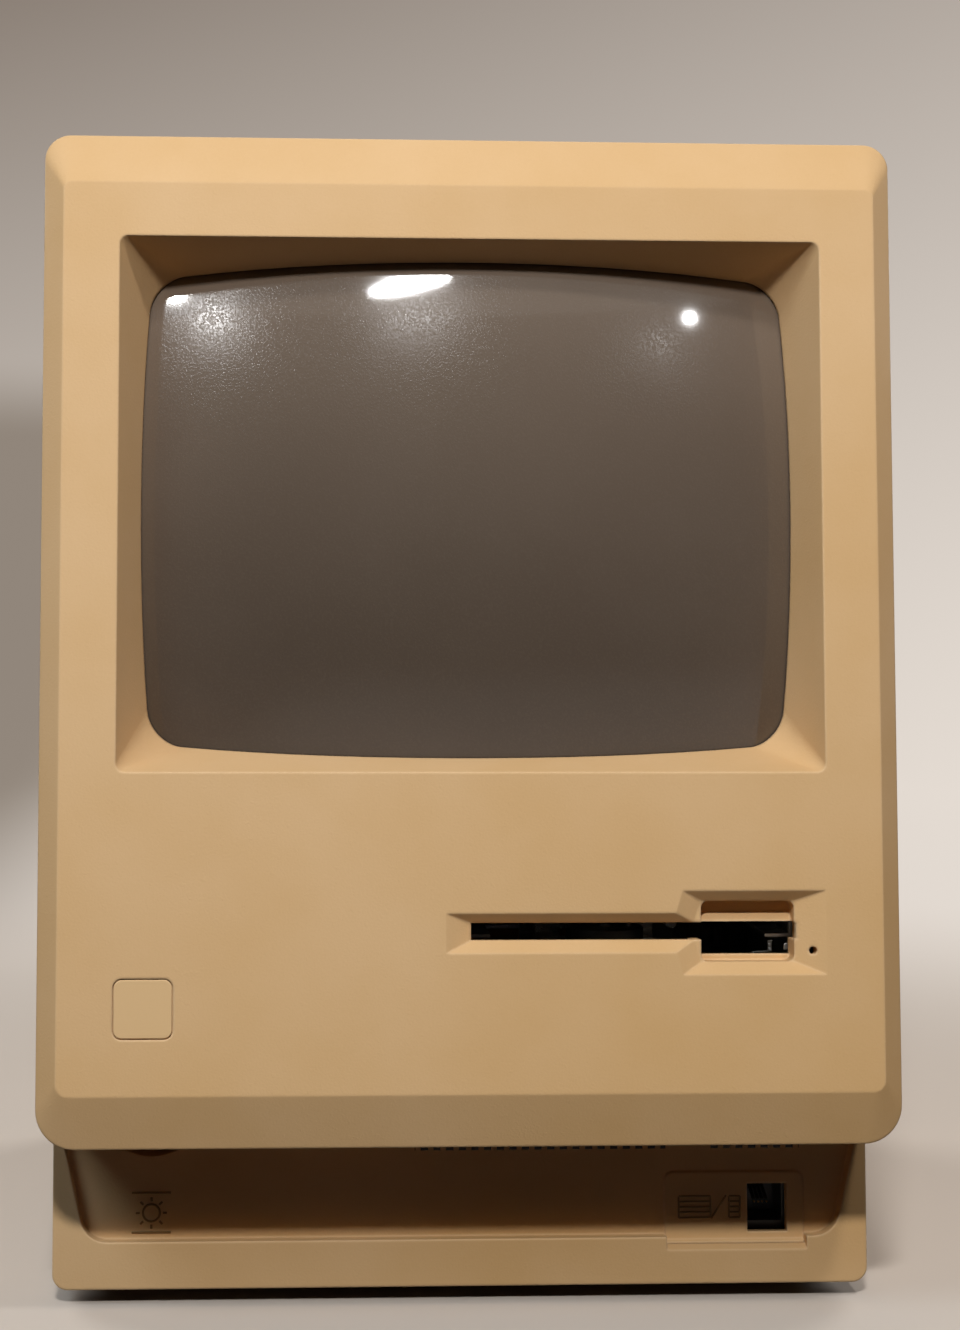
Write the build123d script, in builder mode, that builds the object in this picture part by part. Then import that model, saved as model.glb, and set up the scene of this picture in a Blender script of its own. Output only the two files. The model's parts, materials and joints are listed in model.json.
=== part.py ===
from build123d import *
import os
from math import cos, radians, sin

os.makedirs("parts", exist_ok=True)

# A compact all-in-one home computer: a moulded front bezel that leans back, a rear case with a
# carrying handle, a nine-inch picture tube, a vertical analog board, a flat logic board and a
# front-loading disk drive. Millimetres; +Z up, the face looks along -Y, the origin is on the
# table under the middle of the machine.

# ------------------------------------------------------------------ driving dimensions: housing
width = 244.0             # over the front bezel
height = 341.0            # table to the top edge
depth = 277.0             # front panel to rear wall
lean = 4.0                # degrees that the face leans back
rear_lean = 3.0           # degrees that the rear wall leans forward
foot_height = 5.0
chin_rise = 49.5          # chin edge above the underside of the case
wall = 2.6                # bezel wall
case_wall = 3.0           # rear case wall
gap = 0.3                 # loose clearance between neighbours
seam_step = 1.0           # the rear case is this much smaller than the bezel all round

panel_raise = 6.0         # flat panel in front of the bezel outline
side_band = 6.1           # chamfers from the outline to the panel
top_band = 14.8
bottom_band = 15.3
outline_top_radius = 7.4
outline_chin_radius = 11.0
panel_top_radius = 2.3
panel_bottom_radius = 3.4
seam_depth = 56.0         # outline plane to the seam with the rear case

base_setback = 38.0       # base strip behind the outline plane
kick_depth = 5.0          # recessed kick panel behind the base strip
strip_height = 13.6       # base strip above the underside
kick_top_inset = 2.0      # kick panel from the side of the base, at its top and its bottom
kick_bottom_inset = 9.5
kick_radius = 8.0
base_radius = 4.6

# ------------------------------------------------------------------ driving dimensions: openings
window_width = width - 43.8
window_height = height - 189.0
window_below_panel_top = 15.5
window_radius = 2.3
funnel_depth = 18.0       # end of the window's sloped walls behind the outline plane
funnel_inset = 8.8        # each wall comes in by this much at that depth
funnel_bulge = 1.2        # crown of each wall's end
funnel_radius = 12.0

disk_width = 90.0
disk_thickness = 3.3
drive_x = width / 2 - 76.0        # middle of the disk
slot_left = drive_x - disk_width / 2 - 1.5
slot_right = drive_x + disk_width / 2 + 1.5
slot_low = 42.4           # disk slot above the panel's lower edge
slot_high = slot_low + disk_thickness + 1.6
groove_depth = 3.0
groove_left = slot_left - 7.2
groove_step = drive_x + 11.0      # the groove widens here for the finger notch
groove_right = slot_right + 7.2
groove_low = slot_low - 3.4
groove_high = slot_high + 2.8
notch_left = drive_x + 18.6
notch_right = drive_x + 45.1
notch_low = slot_low - 6.2
notch_high = slot_high + 6.0
notch_groove_low = slot_low - 9.6
notch_groove_high = slot_high + 9.0
notch_depth = 6.0         # pocket behind the groove's floor
notch_sill = 1.7          # ledge under the through part of the notch
notch_radius = 2.0
notch_lip = 2.6           # the sloped lip over the slot, in the notch: its rise and its reach
eject_x = notch_right + 5.0
eject_rise = slot_low - 3.0
eject_radius = 1.1

badge_x = 30.0 - width / 2
badge_rise = 24.0
badge_size = 16.2
badge_thickness = 0.8

# ------------------------------------------------------------------ driving dimensions: controls
knob_x = 29.6 - width / 2
knob_v = 8.3
knob_radius = 13.5
knob_width = 8.0
knob_pocket_radius = 17.5
knob_pocket_depth = 10.0
knob_shaft_radius = 3.0
running_gap = 0.06        # radial, shafts in their bearings

jack_x = width / 2 - 30.0
jack_pad_left = jack_x - 31.0
jack_pad_right = jack_x + 11.0
jack_pad_top = 36.5
jack_pad_bottom = 16.8
jack_pad_raise = 0.6
jack_low = 18.8
jack_high = 33.0
jack_width = 12.0

vent_width = 1.9
vent_pitch = 3.8

# ------------------------------------------------------------------ driving dimensions: rear case
rear_top_z = height - 11.0
handle_half_width = width / 2 - 60.0
handle_front_y = depth / 2 - 78.5
handle_floor_z = rear_top_z - 37.0
handle_bar_front_y = depth / 2 - 38.5
handle_bar_low_z = rear_top_z - 16.0
handle_screw_x = handle_half_width - 12.0
handle_screw_z = rear_top_z - 11.0
screw_well_end_y = handle_front_y - 40.0
screw_well_radius = 5.0
post_radius = 5.0

board_z = 16.0            # underside of the logic board
board_thickness = 1.6
board_half_width = width / 2 - 12.5
board_front_y = 68.5 - depth / 2
board_rear_y = depth / 2 - 16.5

shelf_z = 84.0            # chassis shelf under the disk drive
sheet = 1.5
chassis_half_width = width / 2 - 9.0
chassis_rear_y = board_rear_y - 10.0
chassis_front_y = board_front_y - 2.0
chassis_wall_top = rear_top_z - 46.0

port_low = 13.0           # rear port panel, measured up the rear wall
port_high = 38.0
port_recess = 5.0
port_left = 17.0 - width / 2      # as seen from behind
port_right = width / 2 - 40.0

inlet_p = width / 2 - 34.0        # centre of the power parts, as seen from behind
inlet_q = 100.0
inlet_width = 27.0
inlet_height = 20.0
rocker_q = inlet_q + 36.0
rocker_width = 13.4
rocker_height = 23.0
rocker_angle = 8.0
battery_radius = 8.25
battery_length = 50.0
battery_q_low = rocker_q + 24.0
battery_q_high = battery_q_low + battery_length + 16.0
battery_width = 2 * battery_radius + 7.5
battery_depth = battery_width

# ------------------------------------------------------------------ driving dimensions: tube
tube_width = window_width - 1.0
tube_height = window_height + 1.0
tube_corner = 16.0
dome_radius = 420.0
tube_apex = 1.0           # crown of the glass behind the outline plane
tube_skirt = 32.0
glass = 6.0
glass_gap = 0.6           # between the glass and the window's sloped walls
funnel_end = 90.0
funnel_end_radius = 24.0
cone_end = 112.0
neck_end = depth - 61.0
neck_radius = 10.0
ear_depth = 22.0          # tube ears behind the outline plane
ear_x = tube_width / 2 + 7.0
ear_rise = tube_height / 2 + 8.0
boss_radius = 5.0

# ------------------------------------------------------------------ driving dimensions: drive
drive_half_width = disk_width / 2 + 8.0
drive_front_y = 17.5 - depth / 2
drive_length = 148.0
drive_floor_z = shelf_z + 3.0
drive_wall_height = 38.0
drive_sheet = 2.0
carriage_drop = 5.0
slider_travel = 10.0
hub_y = drive_front_y + 53.0
head_travel = 15.0
screw_pitch = 3.0

# ------------------------------------------------------------------ planes and places
lean_cos = cos(radians(lean))
lean_sin = sin(radians(lean))
rear_cos = cos(radians(rear_lean))
rear_sin = sin(radians(rear_lean))
chin_z = foot_height + chin_rise
face_height = (height - chin_z) / lean_cos
panel_width = width - 2 * side_band
panel_height = face_height - top_band - bottom_band
front_y = -depth / 2 + panel_raise * lean_cos - bottom_band * lean_sin
base_half = width / 2 - seam_step
window_v = bottom_band + panel_height - window_below_panel_top - window_height / 2
kick_back = base_setback + kick_depth

# the outline plane of the face, its origin in the middle of the chin's edge
face = Plane(origin=(0, front_y, chin_z), x_dir=(1, 0, 0), z_dir=(0, -lean_cos, lean_sin))
# the rear wall, seen from behind, its origin at the underside
rear = Plane(origin=(0, depth / 2, foot_height), x_dir=(-1, 0, 0), z_dir=(0, rear_cos, rear_sin))
BOTTOM = (Align.CENTER, Align.CENTER, Align.MIN)
TOP = (Align.CENTER, Align.CENTER, Align.MAX)


def face_y(v, w=0.0):
    """Y of a point at height v up the face and w in front of the outline plane."""
    return front_y + v * lean_sin - w * lean_cos


def face_z(v, w=0.0):
    """Z of that point."""
    return chin_z + v * lean_cos + w * lean_sin


def up_face(z, w=0.0):
    """Height v up the face of a level z, at w in front of the outline plane."""
    return (z - chin_z - w * lean_sin) / lean_cos


def rear_y(q, n=0.0):
    """Y of a point at height q up the rear wall and n outside it."""
    return depth / 2 - q * rear_sin + n * rear_cos


def rear_z(q, n=0.0):
    """Z of that point."""
    return foot_height + q * rear_cos + n * rear_sin


def two_radius_rectangle(wide, tall, upper_radius, lower_radius):
    """A rectangle standing on the middle of its lower edge, with its own radii above and below."""
    with BuildSketch() as shape:
        with Locations((0, tall / 2)):
            Rectangle(wide, tall)
        fillet(shape.vertices().group_by(Axis.Y)[-1], upper_radius)
        fillet(shape.vertices().group_by(Axis.Y)[0], lower_radius)
    return shape.sketch


def crowned_rectangle(wide, tall, crown, radius):
    """A rectangle whose four sides bulge by the crown, with rounded corners."""
    x, y = wide / 2, tall / 2
    with BuildSketch() as shape:
        with BuildLine():
            ThreePointArc((-x, y), (0, y + crown), (x, y))
            ThreePointArc((x, y), (x + crown, 0), (x, -y))
            ThreePointArc((x, -y), (0, -y - crown), (-x, -y))
            ThreePointArc((-x, -y), (-x - crown, 0), (-x, y))
        make_face()
        fillet(shape.vertices(), radius)
    return shape.sketch


def block(x, y, z, mode=Mode.ADD):
    """A box between pairs of limits, in the part that is being built."""
    with Locations((x[0], y[0], z[0])):
        Box(x[1] - x[0], y[1] - y[0], z[1] - z[0], align=(Align.MIN,) * 3, mode=mode)


def add_screw(shank_radius, shank_length, head_radius, head_height):
    """A pan-head screw with a hexagon recess, its head's underside at the current location."""
    Cylinder(shank_radius, shank_length, align=TOP)
    Cylinder(head_radius, head_height, align=BOTTOM)
    with Locations((0, 0, head_height)):
        Cylinder(head_radius * 0.4, head_height * 0.5, align=TOP, mode=Mode.SUBTRACT)


def faceplate(grow):
    """The tube's front: its outline carried back from the dome, all grown by an amount."""
    with BuildPart() as plate:
        with BuildSketch(face.offset(-tube_apex - tube_skirt)):
            with Locations((0, window_v)):
                RectangleRounded(tube_width + 2 * grow, tube_height + 2 * grow, tube_corner + grow)
        extrude(amount=2 * tube_skirt)
        dome_w = -tube_apex - dome_radius
        with Locations((0, face_y(window_v, dome_w), face_z(window_v, dome_w))):
            Sphere(dome_radius + grow, mode=Mode.INTERSECT)
    return plate.part


def groove_outline(low, high, left, step, right, wide_low, wide_high, slant):
    """Outline of the disk groove, narrow on the left and wide round the notch on the right."""
    return [
        (left, low), (step, low), (step + slant, wide_low), (right, wide_low),
        (right, wide_high), (step + slant, wide_high), (step, high), (left, high),
    ]


# ------------------------------------------------------------------ front bezel
outline = two_radius_rectangle(width, face_height, outline_top_radius, outline_chin_radius)
inner_outline = two_radius_rectangle(
    width - 2 * wall, face_height - 2 * wall, outline_top_radius - wall, outline_chin_radius - wall
)
panel = two_radius_rectangle(panel_width, panel_height, panel_top_radius, panel_bottom_radius)
inner_panel = two_radius_rectangle(
    panel_width - 2 * wall, panel_height - 2 * wall, panel_top_radius, panel_bottom_radius
)
funnel_end_shape = crowned_rectangle(
    window_width - 2 * funnel_inset, window_height - 2 * funnel_inset, funnel_bulge, funnel_radius
)
funnel_end_outside = crowned_rectangle(
    window_width - 2 * funnel_inset + 2 * wall,
    window_height - 2 * funnel_inset + 2 * wall,
    funnel_bulge,
    funnel_radius + wall,
)
groove_outer = groove_outline(
    groove_low, groove_high, groove_left, groove_step, groove_right,
    notch_groove_low, notch_groove_high, 2.0,
)
groove_inner = groove_outline(
    slot_low, slot_high, slot_left, notch_left - 2.0, notch_right, notch_low, notch_high, 2.0
)
strip_v = up_face(foot_height + strip_height, -base_setback)
base_low_v = up_face(foot_height, -base_setback)
notch_floor = panel_raise - groove_depth - notch_depth
ear_places = [(x, window_v + v) for x in (-ear_x, ear_x) for v in (-ear_rise, ear_rise)]
speaker_x = 48.0 - width / 2
speaker_v = window_v - window_height / 2 - 46.5
speaker_radius = 28.5
speaker_ring_depth = 4.0
vent_low_z = 44.5
vent_front = 22.0
vent_back = kick_back + wall * 1.2
chin_vents = [jack_x - 103.0 + vent_pitch * n for n in range(20)]
chin_vents += [jack_x - 14.8 + vent_pitch * n for n in range(7)]

with BuildSketch() as kick_shape:
    Polygon(
        (-base_half + kick_top_inset, 0),
        (-base_half + kick_bottom_inset, strip_v),
        (base_half - kick_bottom_inset, strip_v),
        (base_half - kick_top_inset, 0),
    )
    fillet(kick_shape.vertices().group_by(Axis.Y)[0], kick_radius)

with BuildPart() as front_bezel:
    # the upper housing and its chamfered front
    with BuildSketch(face):
        add(outline)
    extrude(amount=-seam_depth)
    with BuildSketch(face):
        add(outline)
    with BuildSketch(face.offset(panel_raise)):
        with Locations((0, bottom_band)):
            add(panel)
    loft(ruled=True)
    # the base under the chin
    with BuildSketch(face.offset(-base_setback)):
        with Locations((0, base_low_v)):
            add(two_radius_rectangle(2 * base_half, wall / 2 - base_low_v, 0.5, base_radius))
    extrude(amount=-(seam_depth - base_setback))
    block((-width, width), (-depth, depth), (-height, foot_height), Mode.SUBTRACT)

    # the hollow behind the panel, open at the seam
    with BuildSketch(face.offset(-seam_depth)):
        with Locations((0, wall)):
            add(inner_outline)
    extrude(amount=seam_depth - wall / 2, mode=Mode.SUBTRACT)
    with BuildSketch(face.offset(-wall / 2)):
        with Locations((0, wall)):
            add(inner_outline)
    with BuildSketch(face.offset(panel_raise - wall)):
        with Locations((0, bottom_band + wall)):
            add(inner_panel)
    loft(ruled=True, mode=Mode.SUBTRACT)
    # the hollow of the base, behind the kick panel and in the strip
    with BuildSketch(Plane.YZ):
        floor_z = foot_height + wall
        lip_z = foot_height + strip_height - wall
        Polygon(
            (face_y(up_face(floor_z, -seam_depth), -seam_depth) + wall, floor_z),
            (face_y(up_face(floor_z, -base_setback), -base_setback) + wall, floor_z),
            (face_y(strip_v, -base_setback) + wall, lip_z),
            (face_y(strip_v, -kick_back) + wall, lip_z),
            (face_y(wall * 2, -kick_back) + wall, face_z(wall * 2, -kick_back)),
            (face_y(wall * 2, -seam_depth) + wall, face_z(wall * 2, -seam_depth)),
        )
    extrude(amount=base_half - wall, both=True, mode=Mode.SUBTRACT)

    # bosses and inner walls
    with BuildSketch(face.offset(panel_raise - wall / 2)):
        with Locations((0, window_v)):
            RectangleRounded(
                window_width + 2 * wall, window_height + 2 * wall, window_radius + wall
            )
    with BuildSketch(face.offset(-funnel_depth)):
        with Locations((0, window_v)):
            add(funnel_end_outside)
    loft(ruled=True)
    with BuildSketch(face.offset(panel_raise - wall / 2)):
        with Locations(ear_places):
            Circle(boss_radius)
    extrude(amount=-(ear_depth + panel_raise - wall / 2))
    with BuildSketch(face.offset(panel_raise - wall / 2)):
        with Locations((0, bottom_band)):
            Polygon(*groove_outer)
    extrude(amount=-(groove_depth + wall / 2))
    with BuildSketch(face.offset(panel_raise - wall / 2)):
        with Locations(((notch_left + notch_right) / 2, bottom_band + (notch_low + notch_high) / 2)):
            RectangleRounded(
                notch_right - notch_left + 2 * wall, notch_high - notch_low + 2 * wall, wall
            )
    extrude(amount=-(groove_depth + notch_depth + wall / 2))
    with BuildSketch(face.offset(panel_raise - wall / 2)):
        with Locations((speaker_x, speaker_v)):
            Circle(speaker_radius)
            Circle(speaker_radius - wall, mode=Mode.SUBTRACT)
    extrude(amount=-(speaker_ring_depth + panel_raise - wall / 2))
    # long posts for the upper case screws
    with BuildSketch(Plane.XZ.offset(-(screw_well_end_y - wall * 2))):
        with Locations((-handle_screw_x, handle_screw_z), (handle_screw_x, handle_screw_z)):
            Circle(post_radius)
    extrude(until=Until.NEXT)
    # the knob's housing
    with BuildSketch(face.offset(wall - kick_back)):
        with Locations((knob_x, knob_v)):
            Circle(knob_pocket_radius + wall)
    extrude(amount=-(knob_pocket_depth + 2 * wall))
    # raised pad round the keyboard jack
    jack_pad_v = [up_face(z, -kick_back) for z in (jack_pad_bottom, jack_pad_top)]
    with BuildSketch(face.offset(jack_pad_raise - kick_back)):
        with Locations(((jack_pad_left + jack_pad_right) / 2, sum(jack_pad_v) / 2)):
            RectangleRounded(jack_pad_right - jack_pad_left, jack_pad_v[1] - jack_pad_v[0], 2.5)
    extrude(amount=-(jack_pad_raise + wall))

    # window, groove, slot and notch
    with BuildSketch(face.offset(panel_raise)):
        with Locations((0, window_v)):
            RectangleRounded(window_width, window_height, window_radius)
    with BuildSketch(face.offset(-funnel_depth)):
        with Locations((0, window_v)):
            add(funnel_end_shape)
    loft(ruled=True, mode=Mode.SUBTRACT)
    add(faceplate(glass_gap), mode=Mode.SUBTRACT)
    with BuildSketch(face.offset(panel_raise)):
        with Locations((0, bottom_band)):
            Polygon(*groove_outer)
    with BuildSketch(face.offset(panel_raise - groove_depth)):
        with Locations((0, bottom_band)):
            Polygon(*groove_inner)
    loft(ruled=True, mode=Mode.SUBTRACT)
    with BuildSketch(face.offset(panel_raise - groove_depth)) as slot_cut:
        with Locations(((slot_left + slot_right) / 2, bottom_band + (slot_low + slot_high) / 2)):
            Rectangle(slot_right - slot_left, slot_high - slot_low)
        with Locations(((notch_left + notch_right) / 2,
                        bottom_band + (notch_low + notch_sill + slot_high) / 2)):
            Rectangle(notch_right - notch_left, slot_high - notch_low - notch_sill)
    extrude(amount=-(notch_depth + 2 * wall), mode=Mode.SUBTRACT)
    with BuildSketch(face.offset(panel_raise - groove_depth)):
        with Locations(((notch_left + notch_right) / 2, bottom_band + (notch_low + notch_high) / 2)):
            RectangleRounded(notch_right - notch_left, notch_high - notch_low, notch_radius)
    extrude(amount=-notch_depth, mode=Mode.SUBTRACT)
    # the lip over the slot
    with BuildSketch(Plane.YZ.offset(notch_left)):
        lip_v = bottom_band + slot_high
        Polygon(
            (face_y(lip_v, notch_floor), face_z(lip_v, notch_floor)),
            (face_y(lip_v, notch_floor + notch_lip), face_z(lip_v, notch_floor + notch_lip)),
            (face_y(lip_v + notch_lip, notch_floor), face_z(lip_v + notch_lip, notch_floor)),
        )
    extrude(amount=notch_right - notch_left)
    with BuildSketch(face.offset(panel_raise)):
        with Locations((eject_x, bottom_band + eject_rise)):
            Circle(eject_radius)
    extrude(amount=-(groove_depth + 2 * wall), mode=Mode.SUBTRACT)
    # badge pocket
    with BuildSketch(face.offset(panel_raise)):
        with Locations((badge_x, bottom_band + badge_rise)):
            RectangleRounded(badge_size + 2 * gap, badge_size + 2 * gap, 2.3 + gap)
    extrude(amount=-badge_thickness, mode=Mode.SUBTRACT)

    # the kick panel's recess, with slanted cheeks, keeping the jack pad
    with BuildSketch(face.offset(-kick_back)):
        add(kick_shape.sketch)
        with Locations(((jack_pad_left + jack_pad_right) / 2, sum(jack_pad_v) / 2)):
            RectangleRounded(
                jack_pad_right - jack_pad_left, jack_pad_v[1] - jack_pad_v[0], 2.5,
                mode=Mode.SUBTRACT,
            )
    extrude(amount=kick_back, mode=Mode.SUBTRACT)
    with BuildSketch(face.offset(jack_pad_raise - kick_back)):
        with Locations(((jack_pad_left + jack_pad_right) / 2, sum(jack_pad_v) / 2)):
            RectangleRounded(jack_pad_right - jack_pad_left, jack_pad_v[1] - jack_pad_v[0], 2.5)
    extrude(amount=kick_back, mode=Mode.SUBTRACT)
    # the base strip dips under the jack pad
    with BuildSketch(Plane.YZ.offset(jack_pad_left)):
        Polygon(
            (face_y(strip_v, wall - base_setback), jack_pad_bottom - 3.0),
            (face_y(strip_v, jack_pad_raise - kick_back), jack_pad_bottom),
            (face_y(strip_v, jack_pad_raise - kick_back), foot_height + strip_height + wall),
            (face_y(strip_v, wall - base_setback), foot_height + strip_height + wall),
        )
    extrude(amount=jack_pad_right - jack_pad_left, mode=Mode.SUBTRACT)
    # keyboard jack opening, with a key at its top
    jack_v = [up_face(z, -kick_back) for z in (jack_low, jack_high)]
    with BuildSketch(face.offset(jack_pad_raise - kick_back)):
        with Locations((jack_x, sum(jack_v) / 2)):
            Rectangle(jack_width, jack_v[1] - jack_v[0])
    extrude(amount=-(wall + 2 * jack_pad_raise), mode=Mode.SUBTRACT)

    # pocket for the brightness knob, and its shaft hole
    with BuildSketch(face.offset(-kick_back)):
        with Locations((knob_x, knob_v)):
            Circle(knob_pocket_radius)
    extrude(amount=-knob_pocket_depth, mode=Mode.SUBTRACT)
    with BuildSketch(face.offset(-kick_back)):
        with Locations((knob_x, knob_v)):
            Circle(knob_shaft_radius + 1.0)
    extrude(amount=-(knob_pocket_depth + 2 * wall), mode=Mode.SUBTRACT)
    # air slots where the chin's underside meets the kick panel
    with BuildSketch(Plane.XY.offset(face_z(up_face(vent_low_z, -kick_back), -kick_back))):
        with Locations(*[(x, face_y(0, -(vent_front + vent_back) / 2)) for x in chin_vents]):
            Rectangle(vent_width, vent_back - vent_front)
    extrude(amount=face_z(wall * 1.5) - vent_low_z, mode=Mode.SUBTRACT)
    # screw holes
    with Locations(*[
        Location(face.offset(-ear_depth) * Pos(x, v, 0)) for x, v in ear_places
    ]):
        Cylinder(2.0, 14.0, align=BOTTOM, mode=Mode.SUBTRACT)
    with Locations(*[
        Location(Plane.XZ.offset(-(screw_well_end_y - wall * 2)) * Pos(x, handle_screw_z, 0))
        for x in (-handle_screw_x, handle_screw_x)
    ]):
        Cylinder(2.1, 26.0, align=BOTTOM, mode=Mode.SUBTRACT)
front_bezel.part.label = "front_bezel"
export_step(front_bezel.part, "parts/front_bezel.step")

# ------------------------------------------------------------------ badge plate
with BuildPart() as badge_plate:
    with BuildSketch(face.offset(panel_raise - badge_thickness)):
        with Locations((badge_x, bottom_band + badge_rise)):
            RectangleRounded(badge_size, badge_size, 2.3)
    extrude(amount=badge_thickness)
    chamfer(badge_plate.faces().sort_by(Axis.Y)[0].edges(), 0.2)
badge_plate.part.label = "badge_plate"
export_step(badge_plate.part, "parts/badge_plate.step")

# ------------------------------------------------------------------ rear case
bucket_half = width / 2 - seam_step
seam_low_v = up_face(foot_height, -seam_depth)
seam_low_y = face_y(seam_low_v, -seam_depth)
seam_top_v = face_height - seam_step
seam_top_y = face_y(seam_top_v, -seam_depth)
seam_top_z = face_z(seam_top_v, -seam_depth)
rear_top_q = (rear_top_z - foot_height) / rear_cos
rear_top_y = rear_y(rear_top_q)
case_profile = [
    (seam_low_y, foot_height), (depth / 2, foot_height),
    (rear_top_y, rear_top_z), (seam_top_y, seam_top_z),
]
case_profile_long = [
    (seam_low_y - 4 * wall, foot_height), (depth / 2, foot_height),
    (rear_top_y, rear_top_z),
    (seam_top_y - 4 * wall, seam_top_z + 4 * wall * lean_sin / lean_cos),
]
with BuildSketch() as case_hollow:
    Polygon(*case_profile_long)
    offset(amount=-case_wall, kind=Kind.INTERSECTION)
with BuildSketch() as case_middle_hollow:
    add(case_hollow.sketch)
    Polygon(
        (handle_front_y - case_wall, handle_floor_z - case_wall), (depth, handle_floor_z - case_wall),
        (depth, 2 * height), (handle_front_y - case_wall, 2 * height),
        mode=Mode.SUBTRACT,
    )
side_vents = [board_front_y + 28.0 + 5.0 * n for n in range(22)]
top_vents = [screw_well_end_y - 50.0 + 6.0 * n for n in range(22)]
floor_vents = [jack_pad_left - 139.0 + 6.0 * n for n in range(27)]
floor_vent_rows = (board_front_y + 25.0, board_rear_y - 67.0)
side_vent_low = 12.0
side_vent_high = 30.0
case_vent_width = 2.4
port_middle_p = (port_left + port_right) / 2
port_middle_q = (port_low + port_high) / 2
port_pitch = width * 0.18
first_port_p = port_left + 21.0
ports = {                      # centre as seen from behind, D-shell width
    "mouse_port": (first_port_p, 17.0),
    "drive_port": (first_port_p + port_pitch, 32.0),
    "printer_port": (first_port_p + 2 * port_pitch, 17.0),
    "modem_port": (first_port_p + 2.75 * port_pitch, 17.0),
}
port_q = 21.5
shell_height = 8.4
audio_p = ports["modem_port"][0] + 27.0
audio_radius = 1.8
switch_y = chassis_rear_y - 16.0
switch_z = 24.0
switch_length = 24.0
switch_height = 12.0
battery_middle_q = (battery_q_low + battery_q_high) / 2
case_screw_radius = 2.0
screw_head_radius = 4.0
screw_sink = 4.0
door_hinge_n = -1.2
door_hinge_rise = 2.8
hinge_radius = 0.9
door_pin_reach = 1.0
lower_screws = [(10.0 - width / 2, 55.0), (width / 2 - 10.0, 55.0)]


def d_outline(wide, tall):
    """The D-shaped outline of a port, its narrow side down."""
    slant = tall * 0.09
    with BuildSketch() as shape:
        Polygon(
            (-wide / 2, tall / 2), (-wide / 2 + 2 * slant, -tall / 2),
            (wide / 2 - 2 * slant, -tall / 2), (wide / 2, tall / 2),
        )
        fillet(shape.vertices(), 1.4)
    return shape.sketch


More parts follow.
